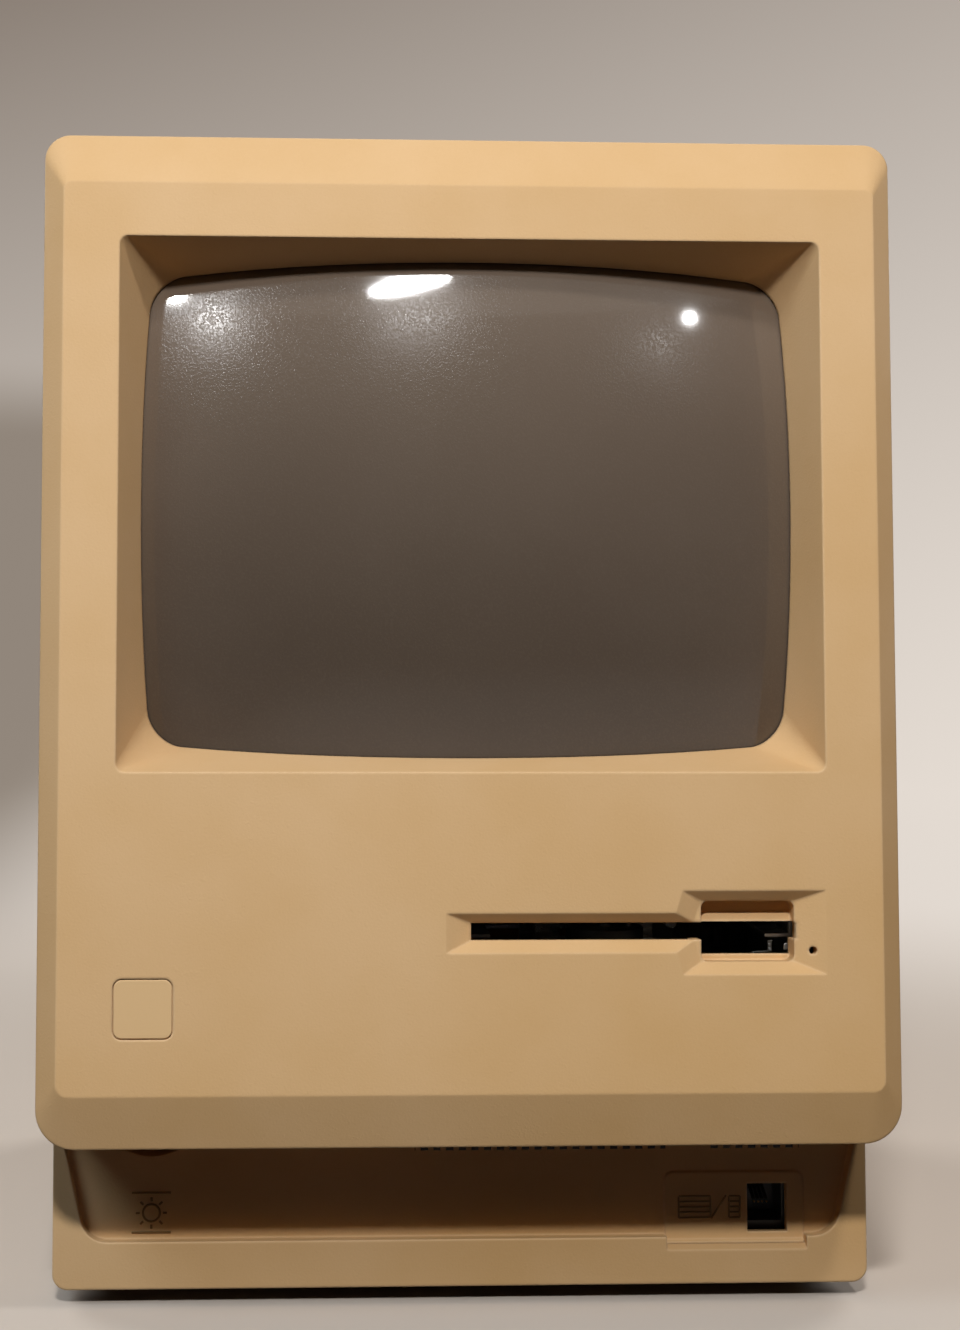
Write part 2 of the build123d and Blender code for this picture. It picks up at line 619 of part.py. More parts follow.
with BuildPart() as rear_case:
    with BuildSketch(Plane.YZ):
        Polygon(*case_profile)
    extrude(amount=bucket_half, both=True)
    fillet(rear_case.edges().filter_by(Axis.X).sort_by(Axis.Y)[-2:], 7.0)
    side_edges = rear_case.faces().filter_by(Axis.X).edges()
    fillet([e for e in side_edges if e.center().Y > seam_top_y + 10], base_radius)
    # the hollow, which leaves the walls of the handle's cavity in the middle
    with BuildSketch(Plane.YZ):
        add(case_middle_hollow.sketch)
    extrude(amount=handle_half_width + case_wall, both=True, mode=Mode.SUBTRACT)
    for side in (-1, 1):
        with BuildSketch(Plane.YZ.offset(side * (handle_half_width + case_wall))):
            add(case_hollow.sketch)
        extrude(
            amount=side * (bucket_half - case_wall - handle_half_width - case_wall),
            mode=Mode.SUBTRACT,
        )
    # screw wells reaching forward from the handle's cavity
    with BuildSketch(Plane.XZ.offset(-(screw_well_end_y - 2 * wall))):
        with Locations((-handle_screw_x, handle_screw_z), (handle_screw_x, handle_screw_z)):
            Circle(screw_well_radius + wall)
    extrude(amount=-(handle_front_y - case_wall / 2 - screw_well_end_y + 2 * wall))
    # battery compartment, screw bosses and port panel: solid blocks first
    with BuildSketch(rear.offset(-case_wall / 2)):
        with Locations(*lower_screws):
            Circle(screw_head_radius + gap + wall / 2)
    extrude(amount=-(screw_sink + wall))
    with BuildSketch(rear.offset(-case_wall / 2)):
        with Locations((inlet_p, battery_middle_q)):
            Rectangle(battery_width + 2 * wall, battery_q_high - battery_q_low + 2 * wall)
    extrude(amount=-(battery_depth + wall))
    with BuildSketch(rear.offset(-case_wall / 2)):
        with Locations((port_middle_p, port_middle_q)):
            Rectangle(port_right - port_left + 2 * wall, port_high - port_low + 2 * wall)
    extrude(amount=-(port_recess + case_wall / 2))

    # the handle: a well in the top that runs under the bar and out through the rear
    with BuildSketch(Plane.YZ) as handle_cut:
        Polygon(
            (handle_front_y, handle_floor_z), (depth, handle_floor_z),
            (depth, handle_bar_low_z), (handle_bar_front_y, handle_bar_low_z),
            (handle_bar_front_y, 2 * height), (handle_front_y, 2 * height),
        )
        corners = handle_cut.vertices()
        fillet([v for v in corners if v.X < handle_bar_front_y + 1 and v.Y < height], 5.0)
    extrude(amount=handle_half_width, both=True, mode=Mode.SUBTRACT)
    # deep screw wells
    with Locations(*[
        Plane.XZ.offset(-handle_front_y) * Pos(x, handle_screw_z, 0)
        for x in (-handle_screw_x, handle_screw_x)
    ]):
        Cylinder(
            screw_well_radius, handle_front_y - screw_well_end_y, align=BOTTOM, mode=Mode.SUBTRACT
        )
        Cylinder(case_screw_radius + 0.2, handle_front_y, align=BOTTOM, mode=Mode.SUBTRACT)
    # battery pocket, and the bearing holes of its door's pin
    with BuildSketch(rear):
        with Locations((inlet_p, battery_middle_q)):
            Rectangle(battery_width, battery_q_high - battery_q_low)
    extrude(amount=-battery_depth, mode=Mode.SUBTRACT)
    with Locations(
        rear.offset(door_hinge_n) * Pos(inlet_p, battery_q_low + door_hinge_rise, 0) * Rot(0, 90, 0)
    ):
        Cylinder(
            hinge_radius + running_gap, battery_width + 2 * door_pin_reach + gap,
            mode=Mode.SUBTRACT,
        )
    # power inlet and rocker switch openings
    with BuildSketch(rear):
        with Locations((inlet_p, inlet_q)):
            RectangleRounded(inlet_width + 2 * gap, inlet_height + 2 * gap, 2.0)
        with Locations((inlet_p, rocker_q)):
            Rectangle(rocker_width + 4.0, rocker_height + 4.0)
    extrude(amount=-2 * case_wall, mode=Mode.SUBTRACT)
    # port panel with its openings
    with BuildSketch(rear):
        with Locations((port_middle_p, port_middle_q)):
            RectangleRounded(port_right - port_left, port_high - port_low, 2.5)
    extrude(amount=-port_recess, mode=Mode.SUBTRACT)
    with BuildSketch(rear):
        for p, wide in ports.values():
            with Locations((p, port_q)):
                Rectangle(wide + 1.6, shell_height + 1.6)
        with Locations((audio_p, port_q)):
            Circle(4.2)
    extrude(amount=-(port_recess + 2 * case_wall), mode=Mode.SUBTRACT)
    # lower screw holes, sunk in their bosses
    with BuildSketch(rear):
        with Locations(*lower_screws):
            Circle(case_screw_radius + 0.2)
    extrude(amount=-4 * case_wall, mode=Mode.SUBTRACT)
    with BuildSketch(rear):
        with Locations(*lower_screws):
            Circle(screw_head_radius + gap)
    extrude(amount=-screw_sink, mode=Mode.SUBTRACT)
    # vents: lower sides, upper edges and underside
    with BuildSketch(Plane.YZ):
        with Locations(*[(y, (side_vent_low + side_vent_high) / 2) for y in side_vents]):
            Rectangle(case_vent_width, side_vent_high - side_vent_low)
    extrude(amount=width, both=True, mode=Mode.SUBTRACT)
    for side in (-1, 1):
        with BuildSketch(Plane.YZ.offset(side * (bucket_half - 12.0))):
            with Locations(*[(y, rear_top_z - 2.0) for y in top_vents]):
                Rectangle(case_vent_width, 28.0)
        extrude(amount=side * width, mode=Mode.SUBTRACT)
    with BuildSketch(Plane.XY):
        with Locations(*[(x, y) for x in floor_vents for y in floor_vent_rows]):
            Rectangle(case_vent_width, 30.0)
    extrude(amount=foot_height + 2 * case_wall, mode=Mode.SUBTRACT)
    # opening for the pair of debugging buttons
    block(
        (-width, -bucket_half + 3 * case_wall),
        (switch_y - switch_length / 2, switch_y + switch_length / 2),
        (switch_z - switch_height / 2, switch_z + switch_height / 2), Mode.SUBTRACT,
    )
rear_case.part.label = "rear_case"
export_step(rear_case.part, "parts/rear_case.step")

# ------------------------------------------------------------------ feet and case screws
foot_radius = 9.0
foot_places = [
    (x, y) for x in (30.0 - width / 2, width / 2 - 30.0) for y in (board_front_y + 8.0, depth / 2 - 26.5)
]
with BuildPart() as rubber_feet:
    with Locations(*foot_places):
        Cone(foot_radius - 1.0, foot_radius, foot_height, align=BOTTOM)
rubber_feet.part.label = "rubber_feet"
export_step(rubber_feet.part, "parts/rubber_feet.step")

with BuildPart() as case_screws:
    with Locations(*[
        Plane.XZ.offset(-screw_well_end_y) * Pos(x, handle_screw_z, 0) * Rot(180, 0, 0)
        for x in (-handle_screw_x, handle_screw_x)
    ]):
        add_screw(case_screw_radius, 24.0, screw_head_radius, 3.0)
    with Locations(*[rear.offset(-screw_sink) * Pos(p, q, 0) for p, q in lower_screws]):
        add_screw(case_screw_radius, 10.0, screw_head_radius, 2.4)
case_screws.part.label = "case_screws"
export_step(case_screws.part, "parts/case_screws.step")

# ------------------------------------------------------------------ picture tube
dome_w = -tube_apex - dome_radius
tube_back = -tube_apex - tube_skirt
tube_origin = (0, face_y(window_v), face_z(window_v))
tube_axis = Axis(tube_origin, (0, -lean_cos, lean_sin))
# a half-section of the tube: X is the radius, Y runs forward along the tube's axis
tube_section = Plane(origin=tube_origin, x_dir=(1, 0, 0), z_dir=(0, -lean_sin, -lean_cos))

with BuildPart() as crt_tube:
    add(faceplate(0.0))
    with BuildSketch(face.offset(tube_back)):
        with Locations((0, window_v)):
            RectangleRounded(tube_width, tube_height, tube_corner)
    with BuildSketch(face.offset(-funnel_end)):
        with Locations((0, window_v)):
            neck_side = 2 * funnel_end_radius + 0.2
            RectangleRounded(neck_side, neck_side, funnel_end_radius)
    loft(ruled=True)
    with BuildSketch(tube_section):
        Polygon(
            (0, -funnel_end), (funnel_end_radius, -funnel_end), (neck_radius, -cone_end),
            (neck_radius, -neck_end), (0, -neck_end),
        )
    revolve(axis=tube_axis)
    add(faceplate(-glass), mode=Mode.SUBTRACT)
    with BuildSketch(face.offset(tube_back)):
        with Locations((0, window_v)):
            RectangleRounded(tube_width - 2 * glass, tube_height - 2 * glass, tube_corner - glass)
    with BuildSketch(face.offset(-funnel_end)):
        with Locations((0, window_v)):
            inner = funnel_end_radius - glass / 2
            RectangleRounded(2 * inner + 0.2, 2 * inner + 0.2, inner)
    loft(ruled=True, mode=Mode.SUBTRACT)
    with BuildSketch(tube_section):
        Polygon(
            (0, -funnel_end), (funnel_end_radius - glass / 2, -funnel_end),
            (neck_radius - 1.2, -cone_end), (neck_radius - 1.2, -neck_end), (0, -neck_end),
        )
    revolve(axis=tube_axis, mode=Mode.SUBTRACT)
crt_tube.part.label = "crt_tube"
export_step(crt_tube.part, "parts/crt_tube.step")

with BuildPart() as electron_gun:
    with BuildSketch(tube_section):
        Polygon(
            (0, 66 - neck_end), (6, 66 - neck_end), (6, 48 - neck_end), (7.5, 46 - neck_end),
            (7.5, 20 - neck_end), (5, 18 - neck_end), (5, 10 - neck_end),
            (neck_radius - 1.3, 10 - neck_end), (neck_radius - 1.3, -neck_end), (4, -neck_end),
            (4, -5 - neck_end), (0, -5 - neck_end),
        )
    revolve(axis=tube_axis)
electron_gun.part.label = "electron_gun"
export_step(electron_gun.part, "parts/electron_gun.step")

band_gap = 0.1
band_sheet = 1.2
ear_sheet = 1.5
with BuildPart() as crt_band:
    with BuildSketch(face.offset(-ear_depth)):
        with Locations((0, window_v)):
            RectangleRounded(
                tube_width + 2 * (band_gap + band_sheet), tube_height + 2 * (band_gap + band_sheet),
                tube_corner + band_gap + band_sheet,
            )
    extrude(amount=-(tube_skirt - ear_depth + 8.0 - band_sheet))
    with BuildSketch(face.offset(-ear_depth)):
        for side_x in (-1, 1):
            for side_v in (-1, 1):
                with Locations((side_x * (ear_x - 8.0), window_v + side_v * (ear_rise - 8.0))):
                    SlotCenterToCenter(22.6, 12.0, rotation=45 * side_x * side_v)
    extrude(amount=-ear_sheet)
    with BuildSketch(face):
        with Locations((0, window_v)):
            RectangleRounded(tube_width + 2 * band_gap, tube_height + 2 * band_gap, tube_corner + band_gap)
        with Locations(*ear_places):
            Circle(2.3)
    extrude(amount=-3 * ear_depth, mode=Mode.SUBTRACT)
crt_band.part.label = "crt_band"
export_step(crt_band.part, "parts/crt_band.step")

with BuildPart() as crt_screws:
    with Locations(*[
        face.offset(-ear_depth - ear_sheet) * Pos(x, v, 0) * Rot(180, 0, 0) for x, v in ear_places
    ]):
        add_screw(1.9, 12.0, 4.5, 3.0)
crt_screws.part.label = "crt_screws"
export_step(crt_screws.part, "parts/crt_screws.step")

with BuildPart() as yoke_liner:
    with BuildSketch(tube_section):
        Polygon(
            (25.2, -91), (44, -91), (44, -93.5), (27.5, -93.5), (12.6, -115), (12.6, -130),
            (10.3, -130), (10.3, -112.5),
        )
    revolve(axis=tube_axis)
yoke_liner.part.label = "yoke_liner"
export_step(yoke_liner.part, "parts/yoke_liner.step")

with BuildPart() as yoke_windings:
    with BuildSketch(tube_section):
        Polygon((28.2, -94), (39, -94), (39, -97), (31, -97), (22, -114), (22, -117), (13.2, -117),
                (13.2, -115.6))
    revolve(axis=tube_axis)
yoke_windings.part.label = "yoke_windings"
export_step(yoke_windings.part, "parts/yoke_windings.step")

with BuildPart() as yoke_core:
    with BuildSketch(tube_section):
        Polygon((31.4, -97.2), (36, -97.2), (28, -114), (22.3, -114))
    revolve(axis=tube_axis)
yoke_core.part.label = "yoke_core"
export_step(yoke_core.part, "parts/yoke_core.step")

with BuildPart() as yoke_clamp:
    with BuildSketch(face.offset(-121)):
        with Locations((0, window_v)):
            Circle(14.6)
            with Locations((0, 16)):
                Rectangle(9, 7)
            Circle(12.7, mode=Mode.SUBTRACT)
            with Locations((0, 16)):
                Rectangle(1.6, 12, mode=Mode.SUBTRACT)
    extrude(amount=-7)
yoke_clamp.part.label = "yoke_clamp"
export_step(yoke_clamp.part, "parts/yoke_clamp.step")

with BuildPart() as neck_board:
    with BuildSketch(face.offset(-neck_end - 5.0)):
        with Locations((0, window_v)):
            Rectangle(62, 56)
            Circle(4.6, mode=Mode.SUBTRACT)
    extrude(amount=-board_thickness)
neck_board.part.label = "neck_board"
export_step(neck_board.part, "parts/neck_board.step")

with BuildPart() as neck_socket:
    with BuildSketch(tube_section):
        Polygon((10.4, -neck_end + 6), (13, -neck_end + 6), (13, -neck_end - 5), (4.4, -neck_end - 5),
                (4.4, -neck_end - 0.3), (10.4, -neck_end - 0.3))
    revolve(axis=tube_axis)
neck_socket.part.label = "neck_socket"
export_step(neck_socket.part, "parts/neck_socket.step")

# the anode cap sits on the flat of the tube's left side
cap_w = -58.0
cap_share = (-cap_w + tube_back) / (funnel_end + tube_back)
cap_x = -(tube_width / 2 + (funnel_end_radius - tube_width / 2) * cap_share)
funnel_run = funnel_end + tube_back
funnel_rise = tube_width / 2 - funnel_end_radius
funnel_slope = (funnel_run ** 2 + funnel_rise ** 2) ** 0.5
cap_normal = Vector(
    -funnel_run / funnel_slope, funnel_rise / funnel_slope * lean_cos,
    -funnel_rise / funnel_slope * lean_sin,
)
cap_plane = Plane(
    origin=(cap_x, face_y(window_v, cap_w), face_z(window_v, cap_w)), x_dir=(0, lean_sin, lean_cos),
    z_dir=cap_normal,
)
with BuildPart() as anode_cap:
    with Locations(cap_plane.offset(0.05)):
        Cone(12, 9, 2.4, align=BOTTOM)
        Cylinder(4.5, 8.0, align=BOTTOM)
anode_cap.part.label = "anode_cap"
export_step(anode_cap.part, "parts/anode_cap.step")

# ------------------------------------------------------------------ chassis
flange_w = -34.0
chassis_middle_y = (chassis_front_y + chassis_rear_y) / 2
with BuildPart() as chassis_frame:
    with BuildSketch(Plane.XZ.offset(-chassis_rear_y)) as section:
        for low, high, left, right in (
            (shelf_z, shelf_z + sheet, -chassis_half_width, chassis_half_width),
            (board_z - sheet, shelf_z, chassis_half_width - sheet, chassis_half_width),
            (board_z - sheet, shelf_z, -chassis_half_width, sheet - chassis_half_width),
            (shelf_z, chassis_wall_top, -chassis_half_width, sheet - chassis_half_width),
            (board_z - sheet, board_z, chassis_half_width - 6.0, chassis_half_width - sheet),
            (board_z - sheet, board_z, sheet - chassis_half_width, 6.0 - chassis_half_width),
            (board_z + board_thickness + gap, board_z + board_thickness + gap + sheet,
             chassis_half_width - 6.0, chassis_half_width - sheet),
            (board_z + board_thickness + gap, board_z + board_thickness + gap + sheet,
             sheet - chassis_half_width, 6.0 - chassis_half_width),
        ):
            with Locations(((left + right) / 2, (low + high) / 2)):
                Rectangle(right - left, high - low)
    extrude(amount=chassis_rear_y - chassis_front_y)
    # the shelf runs on into the bezel and turns down to a flange
    shelf_front_y = face_y(up_face(shelf_z, flange_w), flange_w)
    block(
        (13 - chassis_half_width, chassis_half_width - 13), (shelf_front_y, chassis_front_y),
        (shelf_z, shelf_z + sheet),
    )
    with BuildSketch(face.offset(flange_w)):
        flange_top = up_face(shelf_z + sheet, flange_w)
        with Locations((0, (flange_top + 18.0) / 2)):
            Rectangle(2 * (chassis_half_width - 13), flange_top - 18.0)
    extrude(amount=-sheet)
    # windows that lighten the shelf and the left wall
    with BuildSketch(Plane.XY.offset(shelf_z)):
        with Locations((53 - chassis_half_width, chassis_middle_y)):
            RectangleRounded(70, 120, 6)
        with Locations((drive_x, chassis_rear_y - 50)):
            RectangleRounded(70, 60, 6)
        with Locations((knob_x, chassis_front_y - 12)):
            RectangleRounded(30, 20, 3)
    extrude(amount=sheet, mode=Mode.SUBTRACT)
    with BuildSketch(Plane.YZ.offset(-chassis_half_width)):
        with Locations((chassis_middle_y, (shelf_z + chassis_wall_top) / 2 + 4)):
            RectangleRounded(140, chassis_wall_top - shelf_z - 54, 8)
    extrude(amount=sheet, mode=Mode.SUBTRACT)
    # side vents line up with the windows in the skirts
    with BuildSketch(Plane.YZ):
        with Locations((chassis_middle_y, 48)):
            RectangleRounded(150, 36, 6)
    extrude(amount=width, both=True, mode=Mode.SUBTRACT)
    # way through for the debugging buttons
    block(
        (-width, 3 * sheet - chassis_half_width),
        (switch_y - switch_length / 2, switch_y + switch_length / 2),
        (switch_z - switch_height / 2, switch_z + switch_height / 2), Mode.SUBTRACT,
    )
    # standoffs for the analog board
    with Locations(*[
        Plane.YZ.offset(sheet - chassis_half_width) * Pos(y, z, 0)
        for y in (chassis_front_y + 14, chassis_rear_y - 8) for z in (shelf_z + 13, chassis_wall_top - 8)
    ]):
        Cylinder(3.5, 3.0, align=BOTTOM)
chassis_frame.part.label = "chassis_frame"
export_step(chassis_frame.part, "parts/chassis_frame.step")

# ------------------------------------------------------------------ analog board
analog_x = -chassis_half_width + sheet + 3.0
analog_face = Plane.YZ.offset(analog_x + board_thickness)   # X here is Y, Y is Z, normal +X
analog_front_y = chassis_front_y + 10.0
analog_rear_y = chassis_rear_y - 4.0
analog_low_z = shelf_z + 8.0
analog_top_z = chassis_wall_top - 2.0
flyback_y = analog_front_y + 62.0
flyback_z = analog_top_z - 57.0
heatsink_y = analog_rear_y - 38.0
heatsink_z = analog_top_z - 50.0
transformer_y = analog_front_y + 110.0
transformer_z = analog_low_z + 38.0
with BuildPart() as analog_board:
    with BuildSketch(Plane.YZ.offset(analog_x)):
        Polygon(
            (analog_front_y, analog_low_z), (analog_rear_y, analog_low_z),
            (analog_rear_y, analog_top_z), (analog_front_y + 22, analog_top_z),
            (analog_front_y, analog_top_z - 22),
        )
    extrude(amount=board_thickness)
analog_board.part.label = "analog_board"
export_step(analog_board.part, "parts/analog_board.step")

with BuildPart() as flyback_transformer:
    with BuildSketch(analog_face):
        with Locations((flyback_y, flyback_z)):
            RectangleRounded(38, 44, 4)
    extrude(amount=34)
    with BuildSketch(analog_face):
        with Locations((flyback_y - 26, flyback_z)):
            RectangleRounded(12, 30, 2)
    extrude(amount=28)
    with Locations(analog_face * Pos(flyback_y, flyback_z, 34)):
        Cylinder(11, 6, align=BOTTOM)
    block(
        (analog_x + board_thickness + 8, analog_x + board_thickness + 20),
        (flyback_y - 22, flyback_y - 17), (flyback_z - 7, flyback_z + 7),
    )
flyback_transformer.part.label = "flyback_transformer"
export_step(flyback_transformer.part, "parts/flyback_transformer.step")

with BuildPart() as power_transformer:
    with BuildSketch(analog_face):
        with Locations((transformer_y, transformer_z)):
            Rectangle(42, 34)
    extrude(amount=30)
    with BuildSketch(analog_face.offset(5)):
        with Locations((transformer_y, transformer_z)):
            RectangleRounded(30, 44, 3)
    extrude(amount=20)
power_transformer.part.label = "power_transformer"
export_step(power_transformer.part, "parts/power_transformer.step")

capacitor_sizes = [          # from the board's lower front corner (Y, Z), radius, length
    (17, 28, 9, 26), (40, 28, 9, 26), (17, 53, 8, 20), (40, 53, 6.5, 18),
    (67, 20, 11, 32), (67, 48, 8, 22), (102, 86, 8, 22), (124, 86, 6.5, 16),
]
with BuildPart() as capacitors:
    for y, z, radius, length in capacitor_sizes:
        with Locations(analog_face * Pos(analog_front_y + y, analog_low_z + z, 0)):
            Cylinder(radius, length, align=BOTTOM)
capacitors.part.label = "capacitors"
export_step(capacitors.part, "parts/capacitors.step")

with BuildPart() as heatsink:
    with BuildSketch(analog_face):
        with Locations((heatsink_y, heatsink_z)):
            Rectangle(56, 3)
        with Locations(*[(heatsink_y - 26.0 + 6.5 * n, heatsink_z + 8.0) for n in range(9)]):
            Rectangle(1.8, 16)
    extrude(amount=30)
heatsink.part.label = "heatsink"
export_step(heatsink.part, "parts/heatsink.step")

# ------------------------------------------------------------------ brightness control
pocket_back = -(kick_back + knob_pocket_depth)
pot_front = pocket_back - wall
with BuildPart() as brightness_pot:
    with Locations(face.offset(pot_front) * Pos(knob_x, knob_v, 0)):
        Cylinder(9.0, 11.0, align=TOP)
        Cylinder(knob_shaft_radius + running_gap, 30.0, mode=Mode.SUBTRACT)
    with Locations(face.offset(pot_front) * Pos(knob_x, knob_v + 11.0, 0)):
        Box(8, 12, 3, align=TOP)
brightness_pot.part.label = "brightness_pot"
export_step(brightness_pot.part, "parts/brightness_pot.step")

knurl_count = 24
with BuildPart() as brightness_knob:
    with BuildSketch(face.offset(-kick_back - 1.0)):
        with Locations((knob_x, knob_v)):
            Circle(knob_radius)
            with PolarLocations(knob_radius, knurl_count):
                Circle(0.6, mode=Mode.SUBTRACT)
    extrude(amount=-knob_width)
    with BuildSketch(face.offset(-kick_back - 1.0)):
        with Locations((knob_x, knob_v)):
            Circle(knob_radius - 3.5)
    extrude(amount=-2.0, mode=Mode.SUBTRACT)
    with Locations(face.offset(-kick_back - 3.0) * Pos(knob_x, knob_v, 0)):
        Cylinder(knob_shaft_radius, -pocket_back - kick_back - 3.0 + wall + 9.0, align=TOP)
brightness_knob.part.label = "brightness_knob"
export_step(brightness_knob.part, "parts/brightness_knob.step")

# ------------------------------------------------------------------ speaker
with BuildPart() as speaker:
    with Locations(face.offset(-speaker_ring_depth) * Pos(speaker_x, speaker_v, 0)):
        Cylinder(speaker_radius, 1.5, align=TOP)
        with Locations((0, 0, -1.5)):
            Cone(14, speaker_radius - 2.5, 10, align=TOP)
        with Locations((0, 0, -11.5)):
            Cylinder(15, 8, align=TOP)
        Cone(10, speaker_radius - 4, 8, align=TOP, mode=Mode.SUBTRACT)
speaker.part.label = "speaker"
export_step(speaker.part, "parts/speaker.step")

# ------------------------------------------------------------------ power inlet and switch
inlet_back = 30.0
with BuildPart() as mains_inlet:
    with BuildSketch(rear.offset(1.2)):
        with Locations((inlet_p, inlet_q)):
            RectangleRounded(inlet_width + 5, inlet_height + 5, 3.0)
    extrude(amount=-1.2)
    with BuildSketch(rear):
        with Locations((inlet_p, inlet_q)):
            RectangleRounded(inlet_width, inlet_height, 2.0)
    extrude(amount=-inlet_back)
    with BuildSketch(rear.offset(1.2)) as socket:
        with Locations((inlet_p, inlet_q)):
            Rectangle(inlet_width - 3, inlet_height - 3.6)
            chamfer(socket.vertices().group_by(Axis.Y)[-1], 5.0)
    extrude(amount=-18, mode=Mode.SUBTRACT)
    with BuildSketch(rear.offset(-17)):
        with Locations(*[(inlet_p + p, inlet_q + q) for p, q in ((-7, -1.2), (7, -1.2), (0, 2.8))]):
            Rectangle(2, 3.6)
    extrude(amount=14)
mains_inlet.part.label = "mains_inlet"
export_step(mains_inlet.part, "parts/mains_inlet.step")

pivot_n = -4.0
pivot_radius = 1.5
with BuildPart() as power_switch:
    with BuildSketch(rear.offset(1.2)):
        with Locations((inlet_p, rocker_q)):
            RectangleRounded(rocker_width + 8, rocker_height + 8, 2.0)
    extrude(amount=-1.2)
    with BuildSketch(rear):
        with Locations((inlet_p, rocker_q)):
            Rectangle(rocker_width + 3.6, rocker_height + 3.6)
    extrude(amount=-22)
    with BuildSketch(rear.offset(1.2)):
        with Locations((inlet_p, rocker_q)):
            Rectangle(rocker_width + 2 * gap, rocker_height + 2 * gap)
    extrude(amount=-15, mode=Mode.SUBTRACT)
    with Locations(rear.offset(pivot_n) * Pos(inlet_p, rocker_q, 0) * Rot(0, 90, 0)):
        Cylinder(pivot_radius + running_gap, rocker_width + 3.0, mode=Mode.SUBTRACT)
power_switch.part.label = "power_switch"
export_step(power_switch.part, "parts/power_switch.step")

# the rocker's side view: X runs up the rear wall, Y outward
rocker_side = Plane(
    origin=(-inlet_p - rocker_width / 2, rear_y(rocker_q, pivot_n), rear_z(rocker_q, pivot_n)),
    x_dir=(0, -rear_sin, rear_cos), z_dir=(-1, 0, 0),
)
with BuildPart() as power_rocker:
    with BuildSketch(rocker_side) as rocker_profile:
        half = rocker_height / 2 - 0.6
        Polygon(
            (-half, 5.0), (0, 4.0), (half, 5.0), (half - 0.6, 0.5), (3.0, -3.0), (-3.0, -3.0),
            (0.6 - half, 0.5), rotation=rocker_angle,
        )
    extrude(amount=-rocker_width)
    with Locations(rocker_side * Pos(0, 0, -rocker_width / 2)):
        Cylinder(pivot_radius, rocker_width + 2.6)
power_rocker.part.label = "power_rocker"
export_step(power_rocker.part, "parts/power_rocker.step")

# ------------------------------------------------------------------ battery and its door
door_thickness = 2.4
door_gap = 0.35
door_half = battery_width / 2 - door_gap
cell_middle_q = battery_q_low + 4.0 + battery_length / 2
with BuildPart() as battery_door:
    with BuildSketch(rear):
        with Locations((inlet_p, battery_middle_q)):
            RectangleRounded(2 * door_half, battery_q_high - battery_q_low - 2 * door_gap, 1.0)
    extrude(amount=-door_thickness)
    # finger grip at the top and a latch tongue behind it
    with BuildSketch(rear):
        with Locations((inlet_p, battery_q_high - 7.0)):
            SlotOverall(12.0, 5.0)
    extrude(amount=-1.0, mode=Mode.SUBTRACT)
    with BuildSketch(rear.offset(-door_thickness)):
        with Locations((inlet_p, battery_q_high - 4.0)):
            Rectangle(8.0, 1.6)
    extrude(amount=-5.0)
    # hinge pin through the door's lower edge
    with Locations(
        rear.offset(door_hinge_n) * Pos(inlet_p, battery_q_low + door_hinge_rise, 0) * Rot(0, 90, 0)
    ):
        Cylinder(hinge_radius, battery_width + 2 * door_pin_reach)
battery_door.part.label = "battery_door"
export_step(battery_door.part, "parts/battery_door.step")

cell_place = rear.offset(-battery_depth + 11.0) * Pos(inlet_p, cell_middle_q, 0) * Rot(-90, 0, 0)
with BuildPart() as battery_holder:
    with BuildSketch(rear.offset(-battery_depth)):
        with Locations((inlet_p, cell_middle_q)):
            Rectangle(battery_width - 2 * gap, battery_length + 5.0)
    extrude(amount=8.0)
    with Locations(cell_place):
        Cylinder(battery_radius + 0.2, battery_length + 0.4, mode=Mode.SUBTRACT)
battery_holder.part.label = "battery_holder"
export_step(battery_holder.part, "parts/battery_holder.step")

with BuildPart() as battery:
    with Locations(cell_place):
        Cylinder(battery_radius, battery_length - 2.0)
        with Locations((0, 0, battery_length / 2 - 1.0)):
            Cylinder(2.6, 1.0, align=BOTTOM)
battery.part.label = "battery"
export_step(battery.part, "parts/battery.step")

# ------------------------------------------------------------------ debugging buttons
button_travel = 2.5
button_gap = 0.3
button_size = 8.0
button_stem = 12.6
button_places = {"reset_button": switch_y - 5.6, "interrupt_button": switch_y + 5.6}
clip_x = -bucket_half
with BuildPart() as button_clip:
    block(
        (clip_x - 0.8, clip_x),
        (switch_y - switch_length / 2 - 1.5, switch_y + switch_length / 2 + 1.5),
        (switch_z - switch_height / 2 - 1.5, switch_z + switch_height / 2 + 1.5),
    )
    block(
        (clip_x, clip_x + 6.0),
        (switch_y - switch_length / 2 + 0.2, switch_y + switch_length / 2 - 0.2),
        (switch_z - switch_height / 2 + 0.2, switch_z + switch_height / 2 - 0.2),
    )
    with BuildSketch(Plane.YZ.offset(clip_x - 0.8)):
        with Locations(*[(y, switch_z) for y in button_places.values()]):
            Rectangle(button_size + 2 * button_gap, button_size + 2 * button_gap)
    extrude(amount=10, mode=Mode.SUBTRACT)
button_clip.part.label = "button_clip"
export_step(button_clip.part, "parts/button_clip.step")

for name, y in button_places.items():
    with BuildPart() as button:
        with BuildSketch(Plane.YZ.offset(clip_x - 0.4)):
            with Locations((y, switch_z)):
                RectangleRounded(button_size, button_size, 1.0)
        extrude(amount=5.0)
        with BuildSketch(Plane.YZ.offset(clip_x - 0.4)):
            with Locations((y, switch_z)):
                Rectangle(2.0, 2.0)
        extrude(amount=button_stem)
    button.part.label = name
    export_step(button.part, "parts/" + name + ".step")

